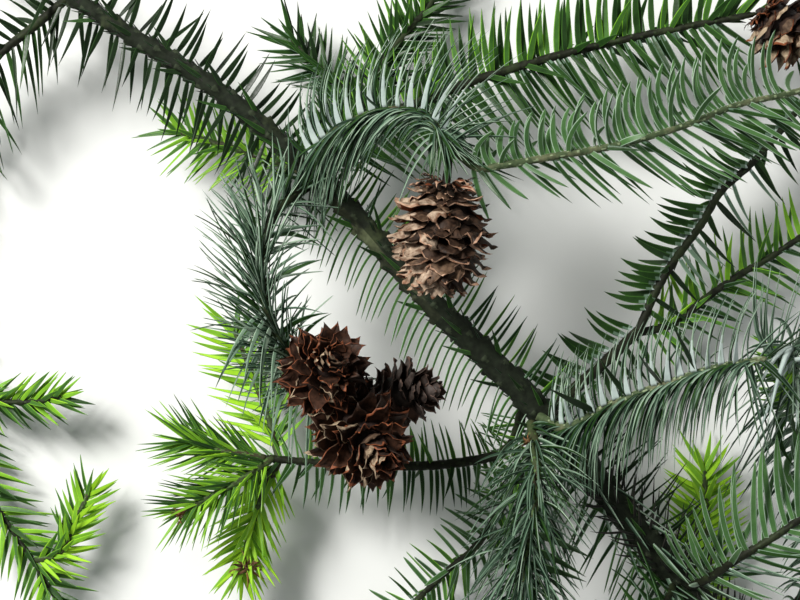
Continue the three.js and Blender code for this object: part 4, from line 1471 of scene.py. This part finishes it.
    Spray("fresh_shoot_far", Mass.FRESH, Twig.GREEN, comb=0.6, dense=1.8, radius=(1.2, 0.9),
        route=((-145, -103, -39), (-133, -99, -36), (-127, -86, -35), (-122, -75, -36)),
        left=Side(16, 46, STRAIGHT, BRIGHTS, 20, 2),
        right=Side(16, 46, STRAIGHT, (Leaf.BRIGHT, Leaf.YOUNG), 20, 2)),
    Spray("leader_tip", Mass.DARK, Twig.DARK, comb=0.4, dense=1, radius=(2, 1.3), fill=(1, 1, 1),
        route=((-151, 132, -20), (-160, 138, -21), (-170, 143, -20)),
        left=Side(19, 58, STRAIGHT, LEADERS, 20, 1.9),
        right=Side(19, 58, STRAIGHT, LEADERS, 20, 1.9)),
)

CONES = (
    ConeSize("cone_single", 18.5, (18, 52, 38), (16.5, 43, 38), (13, 2, 34), scales=130, breadth=0.54,
        kind=ConeKind.RIPE, leans=(76, 62, 46, -6), places=(0.05, 0.85), fullness=0.8),
    ConeSize("cone_left", 15.5, (-30, -30, 10), (-32, -33, 18), (-22, -19, 53), scales=80, breadth=0.52,
        kind=ConeKind.RED),
    ConeSize("cone_low", 17.5, (-23, -34, 9), (-21, -41, 14), (-6, -57, 49), scales=88, breadth=0.5,
        kind=ConeKind.RED),
    ConeSize("cone_right", 12, (-20, -35, 8), (-12, -36, 9), (14, -33, 18), scales=64, breadth=0.62,
        kind=ConeKind.ASH),
    ConeSize("cone_far", 15, (137, 110, -18), (139, 111, -18), (155, 97, -18), scales=60, breadth=0.6,
        kind=ConeKind.RED),
)

BUDS = (
    BudSize((-81, -79.5, -8), (-0.85, -0.45, 0.25), 5, 1.6, (10, 40), 16),
    BudSize((-60, -103, -29), (0.3, -0.5, 0.8), 8.5, 1.4, (45, 105), 20),
    BudSize((49.5, -53.5, 9), (-0.8, 0.25, 0.45), 5, 1.6, (8, 35), 14),
)


@dataclass
class Obstacles:
    """What a leaf may not grow through, the main stem and the cones, or hide, the cones alone.

    Each leaf is looked at in a few places along it. The shares are of the stem's radius, of the cone's
    radius that a leaf stays out of and that it may not lie over, and of its length where that starts.
    """

    stem: Route
    stem_radius: Pair
    cones: tuple[ConeSize, ...]
    leaf_places: Series = (0.4, 0.55, 0.7, 0.85, 1.0)
    stem_places: int = 90
    stem_share: float = 1.05
    clear_share: float = 0.86
    front_share: float = 0.56
    front_start: float = 0.20

    def spared(self, leaves: Leaves, hides: bool = False) -> Array:
        """Return which leaves stay clear of all of it.

        Args:
            leaves: The leaves to look at.
            hides: Whether they may lie over a cone.

        Returns:
            True for each leaf that stays clear.
        """
        points, _ = leaves.line(np.array(self.leaf_places))
        clear = np.ones(len(points), dtype=bool)
        for share in np.linspace(0.0, 1.0, self.stem_places):
            away = np.linalg.norm(points - self.stem.at(np.array((share,)))[0], axis=2)
            radius = between(self.stem_radius[0] / MM, self.stem_radius[1] / MM, share)
            clear &= (away > radius * self.stem_share).all(axis=1)
        for cone in self.cones:
            base, apex = cone.ends()
            long = np.linalg.norm(apex - base)
            axis = (apex - base) / long
            off = points - base
            share = (off @ axis) / long
            away = np.linalg.norm(off - (off @ axis)[..., None] * axis, axis=2)
            inside = np.clip(share, 0.0, 1.0) == share
            swell = np.sin(math.pi * np.clip(share, 0.0, 1.0) ** EGG_POWER)
            radius = cone.radius / MM
            clear &= ~(inside & (away < radius * self.clear_share * swell)).any(axis=1)
            flat_long = float(np.linalg.norm((apex - base)[:2]))
            flat = axis[:2] / max(float(np.linalg.norm(axis[:2])), 1e-6)
            reach = np.clip(off[..., :2] @ flat, self.front_start * flat_long, flat_long)
            beside = np.linalg.norm(off[..., :2] - reach[..., None] * flat, axis=2)
            before = (beside < radius * self.front_share) & (off[..., 2] > 0.0)
            clear &= hides | ~before.any(axis=1)
        return clear


@dataclass
class Limb:
    """A woody limb: bark with the feet of its leaves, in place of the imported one."""

    node: str
    route: Route
    radius: Pair
    base_spacing: float
    form: StemForm
    finishes: tuple[BarkFinish, ...]
    seed: int

    def build(self) -> Piece:
        """Build the limb's skin.

        Returns:
            The limb's object.
        """
        count = round(self.route.length / self.base_spacing)
        roots = (np.arange(count) + 0.5) / count
        turns = np.arange(count) * GOLDEN_ANGLE
        corners, faces = self.form.draw(self.route, self.radius, roots, turns, self.seed)
        self.wear(faces[0][1])
        surface = Surface()
        surface.add(corners, faces)
        made = surface.build("bark_" + self.node, [finish.material() for finish in self.finishes])
        return settled(made, (self.node,))

    def wear(self, slots: Array) -> None:
        """Leave the skin's slots as they are, where nothing is worn."""


@dataclass
class MainStem(Limb):
    """The bent main stem, whose bark is worn along a stretch of one side."""

    node: str = "main_stem"
    route: Route = field(default_factory=lambda: Route(MAIN_STEM_ROUTE))
    radius: Pair = MAIN_STEM_RADIUS
    base_spacing: float = 0.0021
    form: StemForm = StemForm(56, 0.0007, LeafBases(0.00165, 0.0013, 0.0056), 0.00014)
    finishes: tuple[BarkFinish, ...] = (
        BarkFinish("bark_main", (0.017, 0.024, 0.013), (0.004, 0.005, 0.003), (0.034, 0.044, 0.018), 0.12),
        BarkFinish(
            "bark_main_feet", (0.046, 0.060, 0.034), (0.008, 0.012, 0.006), (0.022, 0.030, 0.012), 0.20
        ),
        BarkFinish(
            "bark_main_worn", (0.028, 0.033, 0.018), (0.006, 0.008, 0.004), (0.080, 0.094, 0.048), 0.22
        ),
    )
    seed: int = 3
    worn_stretch: Pair = (0.50, 0.66)
    worn_side: float = math.pi
    worn_reach: float = 1.4
    worn_slot: int = 2

    def wear(self, slots: Array) -> None:
        """Give the skin's worn stretch, on one side of the stem, its own slot.

        Args:
            slots: The slots of the skin's faces, ring by ring.
        """
        ring, side = np.divmod(np.arange(len(slots)), self.form.sides)
        share = ring / ring[-1]
        turn = side * 2.0 * math.pi / self.form.sides - self.worn_side
        near = np.cos(turn) > math.cos(self.worn_reach)
        start, end = self.worn_stretch
        slots[near & (share > start) & (share < end)] = self.worn_slot


@dataclass
class BackBough(Limb):
    """The short bough behind, which carries two sprays."""

    node: str = "back_bough"
    route: Route = field(default_factory=lambda: Route(BACK_BOUGH_ROUTE))
    radius: Pair = BACK_BOUGH_RADIUS
    base_spacing: float = 0.0016
    form: StemForm = StemForm(24, 0.0007, LeafBases(0.00045, 0.0008, 0.0055), 0.00005)
    finishes: tuple[BarkFinish, ...] = (
        BarkFinish("bark_bough", (0.022, 0.024, 0.014), (0.006, 0.006, 0.004), (0.036, 0.044, 0.020), 0.16),
        BarkFinish(
            "bark_bough_feet", (0.040, 0.046, 0.024), (0.010, 0.012, 0.007), (0.030, 0.040, 0.018), 0.20
        ),
    )
    seed: int = 5


def settled(made: Piece, nodes: Sequence[str]) -> Piece:
    """Fix a piece to the part's body and report it.

    Args:
        made: The piece.
        nodes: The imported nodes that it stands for.

    Returns:
        The piece.
    """
    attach(made, BODY)
    if nodes:
        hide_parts(*nodes)
    log.info("%s: %d faces, stands for %s", made.name, len(made.data.polygons), ", ".join(nodes) or "none")
    return made


@dataclass
class Foliage:
    """Every spray's twig and leaves, and the rows of leaves on the stems."""

    main_stem: Limb
    back_bough: Limb
    obstacles: Obstacles
    blade: BladeForm = BladeForm()
    strand: BladeForm = STRAND_FORM
    twig: StemForm = StemForm(18, 0.0009, LeafBases(0.00034, 0.00055, 0.0040), 0.00003)
    twig_share: float = 0.85
    bud_start: float = 0.97
    spray_seeds: tuple[int, int] = (17, 31)
    row_seed: int = 60

    def build(self) -> list[Piece]:
        """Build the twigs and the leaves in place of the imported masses.

        Returns:
            The pieces.
        """
        twigs = Surface()
        grown: dict[Mass, list[tuple[str, Leaves]]] = {mass: [] for mass in Mass}
        stems = {limb.node: (limb.route, limb.radius) for limb in (self.main_stem, self.back_bough)}
        for number, spray in enumerate(SPRAYS):
            route = Route(spray.route)
            stems[spray.name] = (route, spray.radius)
            random = np.random.default_rng(number * self.spray_seeds[1] + self.spray_seeds[0])
            leaves, places, angles = spray.grow(route, random)
            radius = tuple(self.twig_share * part for part in spray.radius)
            corners, faces = self.twig.draw(route, radius, places, angles, number, self.bud_start)
            slot = tuple(Twig).index(spray.twig) * 2
            twigs.add(corners, [(loops, slots + slot) for loops, slots in faces])
            grown[spray.mass].append((spray.name, leaves.kept(self.obstacles.spared(leaves))))
        for number, row in enumerate((*ROWS, *EXTRA_ROWS)):
            leaves = row.grow(*stems[row.stem], np.random.default_rng(number + self.row_seed))
            grown[row.mass].append((row.name, leaves.kept(self.obstacles.spared(leaves, row.hides))))
        skins = [finish.material() for kind in Twig for finish in kind.finishes()]
        made = [settled(twigs.build("twigs", skins), ())]
        tones = [tone.finish().material() for tone in Tone]
        for mass, masses in grown.items():
            made += self._masses(mass, masses, tones)
        return made

    def _masses(
        self, mass: Mass, masses: Sequence[tuple[str, Leaves]], materials: Sequence[Material]
    ) -> list[Piece]:
        """Join one tone's leaves into pieces that stay under the limit on triangles.

        Args:
            mass: The tone of foliage.
            masses: The node names and leaves.
            materials: The materials of all leaf tones.

        Returns:
            The pieces.
        """
        pieces: list[tuple[Surface, list[str]]] = [(Surface(), [])]
        thin = np.array([leaf.value.outline is Outline.STRAND for leaf in Leaf])
        for name, leaves in masses:
            is_thin = thin[leaves.kind]
            drawn = [
                form.draw(leaves.kept(some))
                for form, some in ((self.blade, ~is_thin), (self.strand, is_thin)) if some.any()
            ]
            more = sum(len(loops) * (loops.shape[1] - 2) for _, faces in drawn for loops, _ in faces)
            if pieces[-1][0].triangles + more > PIECE_TRIANGLES:
                pieces.append((Surface(), []))
            for corners, faces in drawn:
                pieces[-1][0].add(corners, faces)
            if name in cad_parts:
                pieces[-1][1].append(name)
        made = []
        for number, (surface, nodes) in enumerate(pieces, 1):
            piece = surface.build(f"leaves_{mass.name.lower()}_{number}", materials)
            made.append(settled(piece, nodes))
        return made


class Part(IntEnum):
    """The parts of a scale: its outer face with that face's foot and waist, inner face and margin."""

    OUTER = 0
    FOOT = 1
    INNER = 2
    MARGIN = 3
    WAIST = 4


@dataclass(frozen=True)
class ScaleForm:
    """A cone scale: a broad thin shield with a toothed margin and a sharp tip bent outwards.

    The twist, skew, waves and folds are the spreads of random amounts. The thinning is the share of the
    thickness lost at the margin and at the tip.
    """

    along: Series = (0.0, 0.14, 0.28, 0.42, 0.56, 0.68, 0.79, 0.88, 0.95)
    widths: Series = (0.62, 0.88, 1.00, 0.98, 0.86, 0.66, 0.42, 0.21, 0.08)
    across: Series = (-1.0, -0.92, -0.60, -0.2, 0.2, 0.60, 0.92, 1.0)
    cup: float = 0.30
    keel: float = 0.06
    tip_bend: float = 0.26
    tip_range: Pair = (0.5, 1.4)
    tip_rise: float = 1.15
    bulge: float = 0.08
    tooth: float = 0.16
    first_tooth: float = 0.1
    twist: float = 0.26
    skew: float = 0.06
    wave: float = 0.070
    fold: float = 0.07
    thickness: float = 0.00042
    thinning: Pair = (0.75, 0.6)

    def draw(
        self, root: Array, direction: Array, outward: Array, reach: float, width: float,
        random: Random,
    ) -> Shape:
        """Draw one scale.

        Args:
            root: Where it starts.
            direction: The way it grows.
            outward: The way out from the cone's axis there.
            reach: Its length.
            width: Its greatest width.
            random: The cone's random numbers.

        Returns:
            Its corners and faces, with its parts as slots.
        """
        level = unit(np.cross(direction, outward))
        upright = np.cross(level, direction)
        twist = random.normal(0.0, self.twist)
        sideways = level * math.cos(twist) + upright * math.sin(twist)
        up = upright * math.cos(twist) - level * math.sin(twist)
        v = np.array(self.along)[:, None]
        u = np.array(self.across)[None, :]
        half = 0.5 * width * np.array(self.widths)[:, None]
        teeth = 1.0 + self.tooth * random.uniform(-1.0, 1.0, (len(v), 2)) * (v > self.first_tooth)
        edge = np.where(u < 0.0, teeth[:, :1], teeth[:, 1:])
        x = u * half * (1.0 + (edge - 1.0) * np.abs(u))
        skew = random.normal(0.0, self.skew) * reach * v ** 2
        tip_bend = self.tip_bend * random.uniform(*self.tip_range)
        lift = -self.cup * half * u ** 2 + self.keel * half * (1.0 - np.abs(u)) ** 2
        lift = lift + reach * (tip_bend * v ** 5 + self.bulge * np.sin(math.pi * v))
        lift = lift + random.normal(0.0, self.fold, (1, u.size)) * half
        waves = random.normal(0.0, self.wave) * np.sin(math.pi * 2.0 * u)
        lift = lift + (waves + random.normal(0.0, self.wave) * np.sin(math.pi * 5.0 * v) * u) * reach * v
        at_margin, at_tip = self.thinning
        thin = self.thickness * (1.0 - at_margin * np.abs(u) ** 3) * (1.0 - at_tip * v)
        face = root + direction * (reach * v)[..., None] + sideways * (x + skew)[..., None]
        outer = face + up * (lift + 0.5 * thin)[..., None]
        inner = face + up * (lift - 0.5 * thin)[..., None]
        tip = root + direction * reach + sideways * skew[-1] + up * (tip_bend * self.tip_rise * reach)
        corners = np.vstack((outer.reshape(-1, 3), inner.reshape(-1, 3), tip[None]))
        return corners, self._faces()

    def _faces(self) -> Faces:
        """Join the corners of one scale.

        Returns:
            Its faces with their slots.
        """
        rows, columns = len(self.along), len(self.across)
        row, column = np.meshgrid(np.arange(rows - 1), np.arange(columns - 1), indexing="ij")
        row, column = row.ravel(), column.ravel()
        here = row * columns + column
        below = rows * columns
        outer = np.stack((here, here + 1, here + 1 + columns, here + columns), axis=1)
        inner = outer[:, (0, 3, 2, 1)] + below
        rim = np.isin(column, (0, columns - 2)) | (row == rows - 2)
        # Foot and waist take darker tones: painted shade under the overlapping scale above
        outer_slots = np.where(row < 1, Part.FOOT, np.where(row < 3, Part.WAIST, Part.OUTER))
        outer_slots = np.where(rim & (row > 2), Part.MARGIN, outer_slots)
        inner_slots = np.where(rim, Part.MARGIN, Part.INNER)
        row = np.arange(rows - 1) * columns
        left = np.stack((row, row + columns, row + columns + below, row + below), axis=1)
        right = np.stack((row, row + below, row + columns + below, row + columns), axis=1) + columns - 1
        column = np.arange(columns - 1)
        foot = np.stack((column, column + below, column + 1 + below, column + 1), axis=1)
        last = (rows - 1) * columns
        apex = np.full(columns - 1, 2 * below)
        top = np.stack((last + column, last + column + 1, apex), axis=1)
        under = np.stack((last + below + column + 1, last + below + column, apex), axis=1)
        far = last + columns - 1
        ends = np.array(((last + below, last, 2 * below), (far, far + below, 2 * below)))
        quads = np.vstack((outer, inner, left, right, foot))
        edge_slots = np.full(2 * (rows - 1) + columns - 1, Part.MARGIN)
        tips = np.vstack((top, under, ends))
        slots = np.concatenate((outer_slots, inner_slots, edge_slots))
        return [(quads, slots), (tips, np.full(len(tips), Part.MARGIN))]


# The curled scales at a cone's foot and the scales of buds are small, and drawn with fewer rings
SMALL_SCALE = ScaleForm(
    along=(0.0, 0.22, 0.46, 0.70, 0.90), widths=(0.62, 0.90, 0.82, 0.50, 0.18),
    across=(-1.0, -0.45, 0.45, 1.0), cup=0.1, tip_bend=0.35, bulge=0.0,
)


class Axis:
    """A line of growth that scales stand round, with two directions across it."""

    def __init__(self, base: Array, along: Array) -> None:
        """Set the line.

        Args:
            base: Where it starts.
            along: The way it grows.
        """
        self.base = base
        self.along = along
        self.start = unit(np.cross(UP, along))
        self.other = np.cross(along, self.start)

    def outward(self, turn: float) -> Array:
        """Return the way out from the line at an angle round it."""
        return self.start * math.cos(turn) + self.other * math.sin(turn)

    def leaning(self, outward: Array, lean: float) -> Array:
        """Return the direction that leans outwards from the line by an angle."""
        return self.along * math.cos(lean) + outward * math.sin(lean)


@dataclass
class Cones:
    """The woody cones: an egg of overlapping scales on a short stalk, curled small scales at its foot.

    Pairs with a share in them give what a length is where the cone has no width, and what its full width
    adds. The small values are those of the scales at its foot.
    """

    form: ScaleForm = ScaleForm()
    small: ScaleForm = SMALL_SCALE
    stalk: StemForm = StemForm(14, 0.0008, LeafBases(0.00030, 0.0006, 0.0040), 0.00004)
    stalk_radius: Pair = (1.2, 1.8)
    stalk_end: float = 0.2
    stalk_feet: int = 9
    core_mesh: tuple[int, int] = (14, 20)
    core_share: float = 0.55
    core_end: float = 0.86
    core_tips: Pair = (0.001, 0.87)
    root_share: float = 0.44
    reach_share: Pair = (0.40, 0.33)
    reach_range: Pair = (0.86, 1.08)
    reach_loss: float = 0.45
    width_share: Pair = (0.42, 0.58)
    width_range: Pair = (0.9, 1.1)
    crowding: float = 0.92
    lean_places: Series = (0.0, 0.12, 0.5, 1.0)
    turn_jitter: float = 0.13
    lean_jitter: float = 8.0
    # The side and end whose scales are dealt lighter tones, painted light; the far side is painted shade
    bleached_side: Point = (-0.92, -0.34, 0.12)
    bleached_tip: float = 0.5
    shoulder: float = 0.88
    small_count: int = 56
    small_places: Pair = (-0.02, 0.11)
    small_leans: Pair = (50.0, 125.0)
    small_roots: Pair = (0.12, 0.5)
    small_reach: Pair = (0.22, 0.38)
    small_width: float = 0.17
    seed: int = 400

    def build(self) -> Piece:
        """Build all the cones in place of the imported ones.

        Returns:
            The joined cones.
        """
        surface = Surface()
        for number, size in enumerate(CONES):
            self._cone(surface, size, np.random.default_rng(number + self.seed))
        finishes = [finish for kind in ConeKind for finish in kind.finishes()]
        made = surface.build("cones", [finish.material() for finish in finishes])
        return settled(made, tuple(size.name for size in CONES))

    def swell(self, share: Amount, fullness: float) -> Amount:
        """Return a cone's radius at shares of its length, as a share of its greatest."""
        return np.sin(math.pi * share ** self.shoulder) ** fullness

    def _cone(self, surface: Surface, size: ConeSize, random: Random) -> None:
        """Add one cone.

        Args:
            surface: Where it goes.
            size: Its sizes.
            random: Its random numbers.
        """
        base, apex = size.ends()
        long = float(np.linalg.norm(apex - base))
        radius = size.radius / MM
        axis = Axis(base, (apex - base) / long)
        first = size.kind.first()
        self._core(surface, size, axis, long, first + Slot.DEEP)
        self._stalk(surface, size, first + Slot.DEEP)
        for i in range(size.scales):
            share = size.places[0] + (size.places[1] - size.places[0]) * (i / size.scales) ** self.crowding
            swell = float(self.swell(share, size.fullness))
            outward = axis.outward(i * GOLDEN_ANGLE + random.normal(0.0, self.turn_jitter))
            lean = np.interp(share, self.lean_places, size.leans) + random.normal(0.0, self.lean_jitter)
            direction = axis.leaning(outward, math.radians(lean))
            root = base + axis.along * (share * long) + outward * (self.root_share * radius * swell)
            reach = radius * (self.reach_share[0] + self.reach_share[1] * swell)
            reach = reach * (1.0 - self.reach_loss * share ** 4) * random.uniform(*self.reach_range)
            width = radius * size.breadth * (self.width_share[0] + self.width_share[1] * swell)
            width = width * random.uniform(*self.width_range)
            corners, faces = self.form.draw(root, direction, outward, reach, width, random)
            # Painted light and shade: scales facing the lit side and the apex are dealt lighter tones,
            # others darker
            facing_light = float(outward @ np.array(self.bleached_side)) + self.bleached_tip * (share - 0.5)
            surface.add(corners, size.kind.dealt(faces, first, random, facing_light))
        for i in range(self.small_count):
            outward = axis.outward(i * GOLDEN_ANGLE)
            direction = axis.leaning(outward, math.radians(random.uniform(*self.small_leans)))
            away = random.uniform(*self.small_roots) * radius
            root = base + axis.along * (random.uniform(*self.small_places) * long) + outward * away
            reach = radius * random.uniform(*self.small_reach)
            width = radius * self.small_width
            corners, faces = self.small.draw(root, direction, outward, reach, width, random)
            surface.add(corners, size.kind.dealt(faces, first, random))

    def _core(self, surface: Surface, size: ConeSize, axis: Axis, long: float, slot: int) -> None:
        """Add the egg-shaped core that the scales stand out of.

        Args:
            surface: Where it goes.
            size: The cone's sizes.
            axis: The cone's axis.
            long: Its length.
            slot: The material slot.
        """
        rings, sides = self.core_mesh
        place = (np.arange(rings) + 0.5) / rings * self.core_end
        swell = self.swell(place / self.core_end, size.fullness) * self.core_share * size.radius / MM
        turn = np.arange(sides) * 2.0 * math.pi / sides
        around = axis.start * np.cos(turn)[:, None] - axis.other * np.sin(turn)[:, None]
        middle = axis.base + axis.along * (place * long)[:, None]
        corners = middle[:, None] + around[None] * swell[:, None, None]
        foot = axis.base + axis.along * self.core_tips[0]
        tip = axis.base + axis.along * long * self.core_tips[1]
        corners = np.vstack((corners.reshape(-1, 3), foot, tip))
        surface.add(corners, [(loops, slots + slot) for loops, slots in tube_faces(rings, sides)])

    def _stalk(self, surface: Surface, size: ConeSize, slot: int) -> None:
        """Add the stalk that carries a cone.

        Args:
            surface: Where it goes.
            size: The cone's sizes.
            slot: The material slot.
        """
        end = np.array(size.base) + self.stalk_end * (np.array(size.apex) - np.array(size.base))
        route = Route((size.stalk, size.base, tuple(end)))
        roots = np.linspace(0.05, 0.95, self.stalk_feet)
        turns = np.arange(self.stalk_feet) * GOLDEN_ANGLE
        corners, faces = self.stalk.draw(route, self.stalk_radius, roots, turns, 9)
        surface.add(corners, [(loops, np.full(len(loops), slot)) for loops, _ in faces])


@dataclass
class Buds:
    """The small brown buds at the ends of some shoots."""

    form: ScaleForm = SMALL_SCALE
    root_share: float = 0.4
    reach_range: Pair = (0.7, 1.1)
    seed: int = 800

    def build(self) -> Piece:
        """Build the buds.

        Returns:
            The joined buds.
        """
        surface = Surface()
        for number, size in enumerate(BUDS):
            random = np.random.default_rng(number + self.seed)
            axis = Axis(np.array(size.root) / MM + BRANCH_SHIFT, unit(np.array(size.axis)))
            for i in range(size.scales):
                outward = axis.outward(i * GOLDEN_ANGLE)
                direction = axis.leaning(outward, math.radians(random.uniform(*size.leans)))
                root = axis.base + axis.along * (size.reach / MM * self.root_share * i / size.scales)
                reach = size.reach / MM * random.uniform(*self.reach_range)
                corners, faces = self.form.draw(root, direction, outward, reach, size.width / MM, random)
                surface.add(corners, ConeKind.BUD.dealt(faces, 0, random))
        made = surface.build("buds", [finish.material() for finish in ConeKind.BUD.finishes()])
        return settled(made, ())


@dataclass(frozen=True)
class Lamp:
    """A soft square light: where it hangs, its side in metres, its power in watts and its colour."""

    name: str
    place: Point
    size: float
    power: float
    colour: Colour

    def hang(self, aim: Point) -> None:
        """Hang the light so that it faces a point.

        Args:
            aim: The point.
        """
        data = bpy.data.lights.new(self.name, "AREA")
        data.size = self.size
        data.energy = self.power
        data.color = self.colour
        made = bpy.data.objects.new(self.name, data)
        made.location = self.place
        towards = Vector(np.array(aim) - np.array(self.place))
        made.rotation_euler = towards.to_track_quat("-Z", "Y").to_euler()
        bpy.context.scene.collection.objects.link(made)


@dataclass
class Studio:
    """The pale floor, the soft lights and the camera that looks straight down."""

    view_height: float = 0.75
    view_width: float = 0.30
    sensor: float = 36.0
    near_clip: float = 0.01
    floor_size: float = 6.0
    floor_drop: float = 0.0006
    floor: FloorFinish = FloorFinish()
    aim: Point = (0.0, 0.0, 0.05)
    lamps: tuple[Lamp, ...] = (
        Lamp("key", (-0.75, 0.65, 1.15), 0.45, 35.0, (1.0, 0.985, 0.95)),
        Lamp("fill", (0.95, -0.35, 0.85), 1.1, 2.5, (0.95, 0.98, 1.0)),
    )
    sky: Colour = (0.97, 1.0, 0.97)
    sky_strength: float = 0.22

    def build(self) -> None:
        """Set the floor, lights and camera up."""
        self._floor()
        for lamp in self.lamps:
            lamp.hang(self.aim)
        self._world()
        self._camera()
        log.info("studio: floor, %d lights and camera", len(self.lamps))

    def _floor(self) -> None:
        """Lay the floor under the part."""
        half = self.floor_size / 2.0
        sides = np.array(((-1.0, -1.0), (1.0, -1.0), (1.0, 1.0), (-1.0, 1.0)))
        corners = np.column_stack((sides * half, np.full(len(sides), SURFACE - self.floor_drop)))
        surface = Surface()
        surface.add(corners, [(np.arange(len(sides))[None], np.zeros(1, dtype=int))])
        surface.build("floor", (self.floor.material(),))

    def _world(self) -> None:
        """Light the scene evenly from all round."""
        world = bpy.data.worlds.new("studio")
        world.use_nodes = True
        background = world.node_tree.nodes["Background"]
        background.inputs["Color"].default_value = (*self.sky, 1.0)
        background.inputs["Strength"].default_value = self.sky_strength
        bpy.context.scene.world = world
        bpy.context.scene.view_settings.view_transform = "Standard"

    def _camera(self) -> None:
        """Hang the camera over the middle of the branch, looking straight down."""
        data = bpy.data.cameras.new("camera")
        data.sensor_width = self.sensor
        data.lens = self.sensor * self.view_height / self.view_width
        data.clip_start = self.near_clip
        made = bpy.data.objects.new("camera", data)
        made.location = BRANCH_SHIFT + UP * self.view_height
        bpy.context.scene.collection.objects.link(made)
        bpy.context.scene.camera = made


def main() -> None:
    """Build the branch from its stem outwards, then the studio."""
    logging.basicConfig(level=logging.INFO, format="%(message)s")
    main_stem = MainStem()
    main_stem.build()
    back_bough = BackBough()
    back_bough.build()
    obstacles = Obstacles(main_stem.route, main_stem.radius, CONES)
    Foliage(main_stem, back_bough, obstacles).build()
    Cones().build()
    Buds().build()
    Studio().build()


if __name__ == "__main__":
    main()
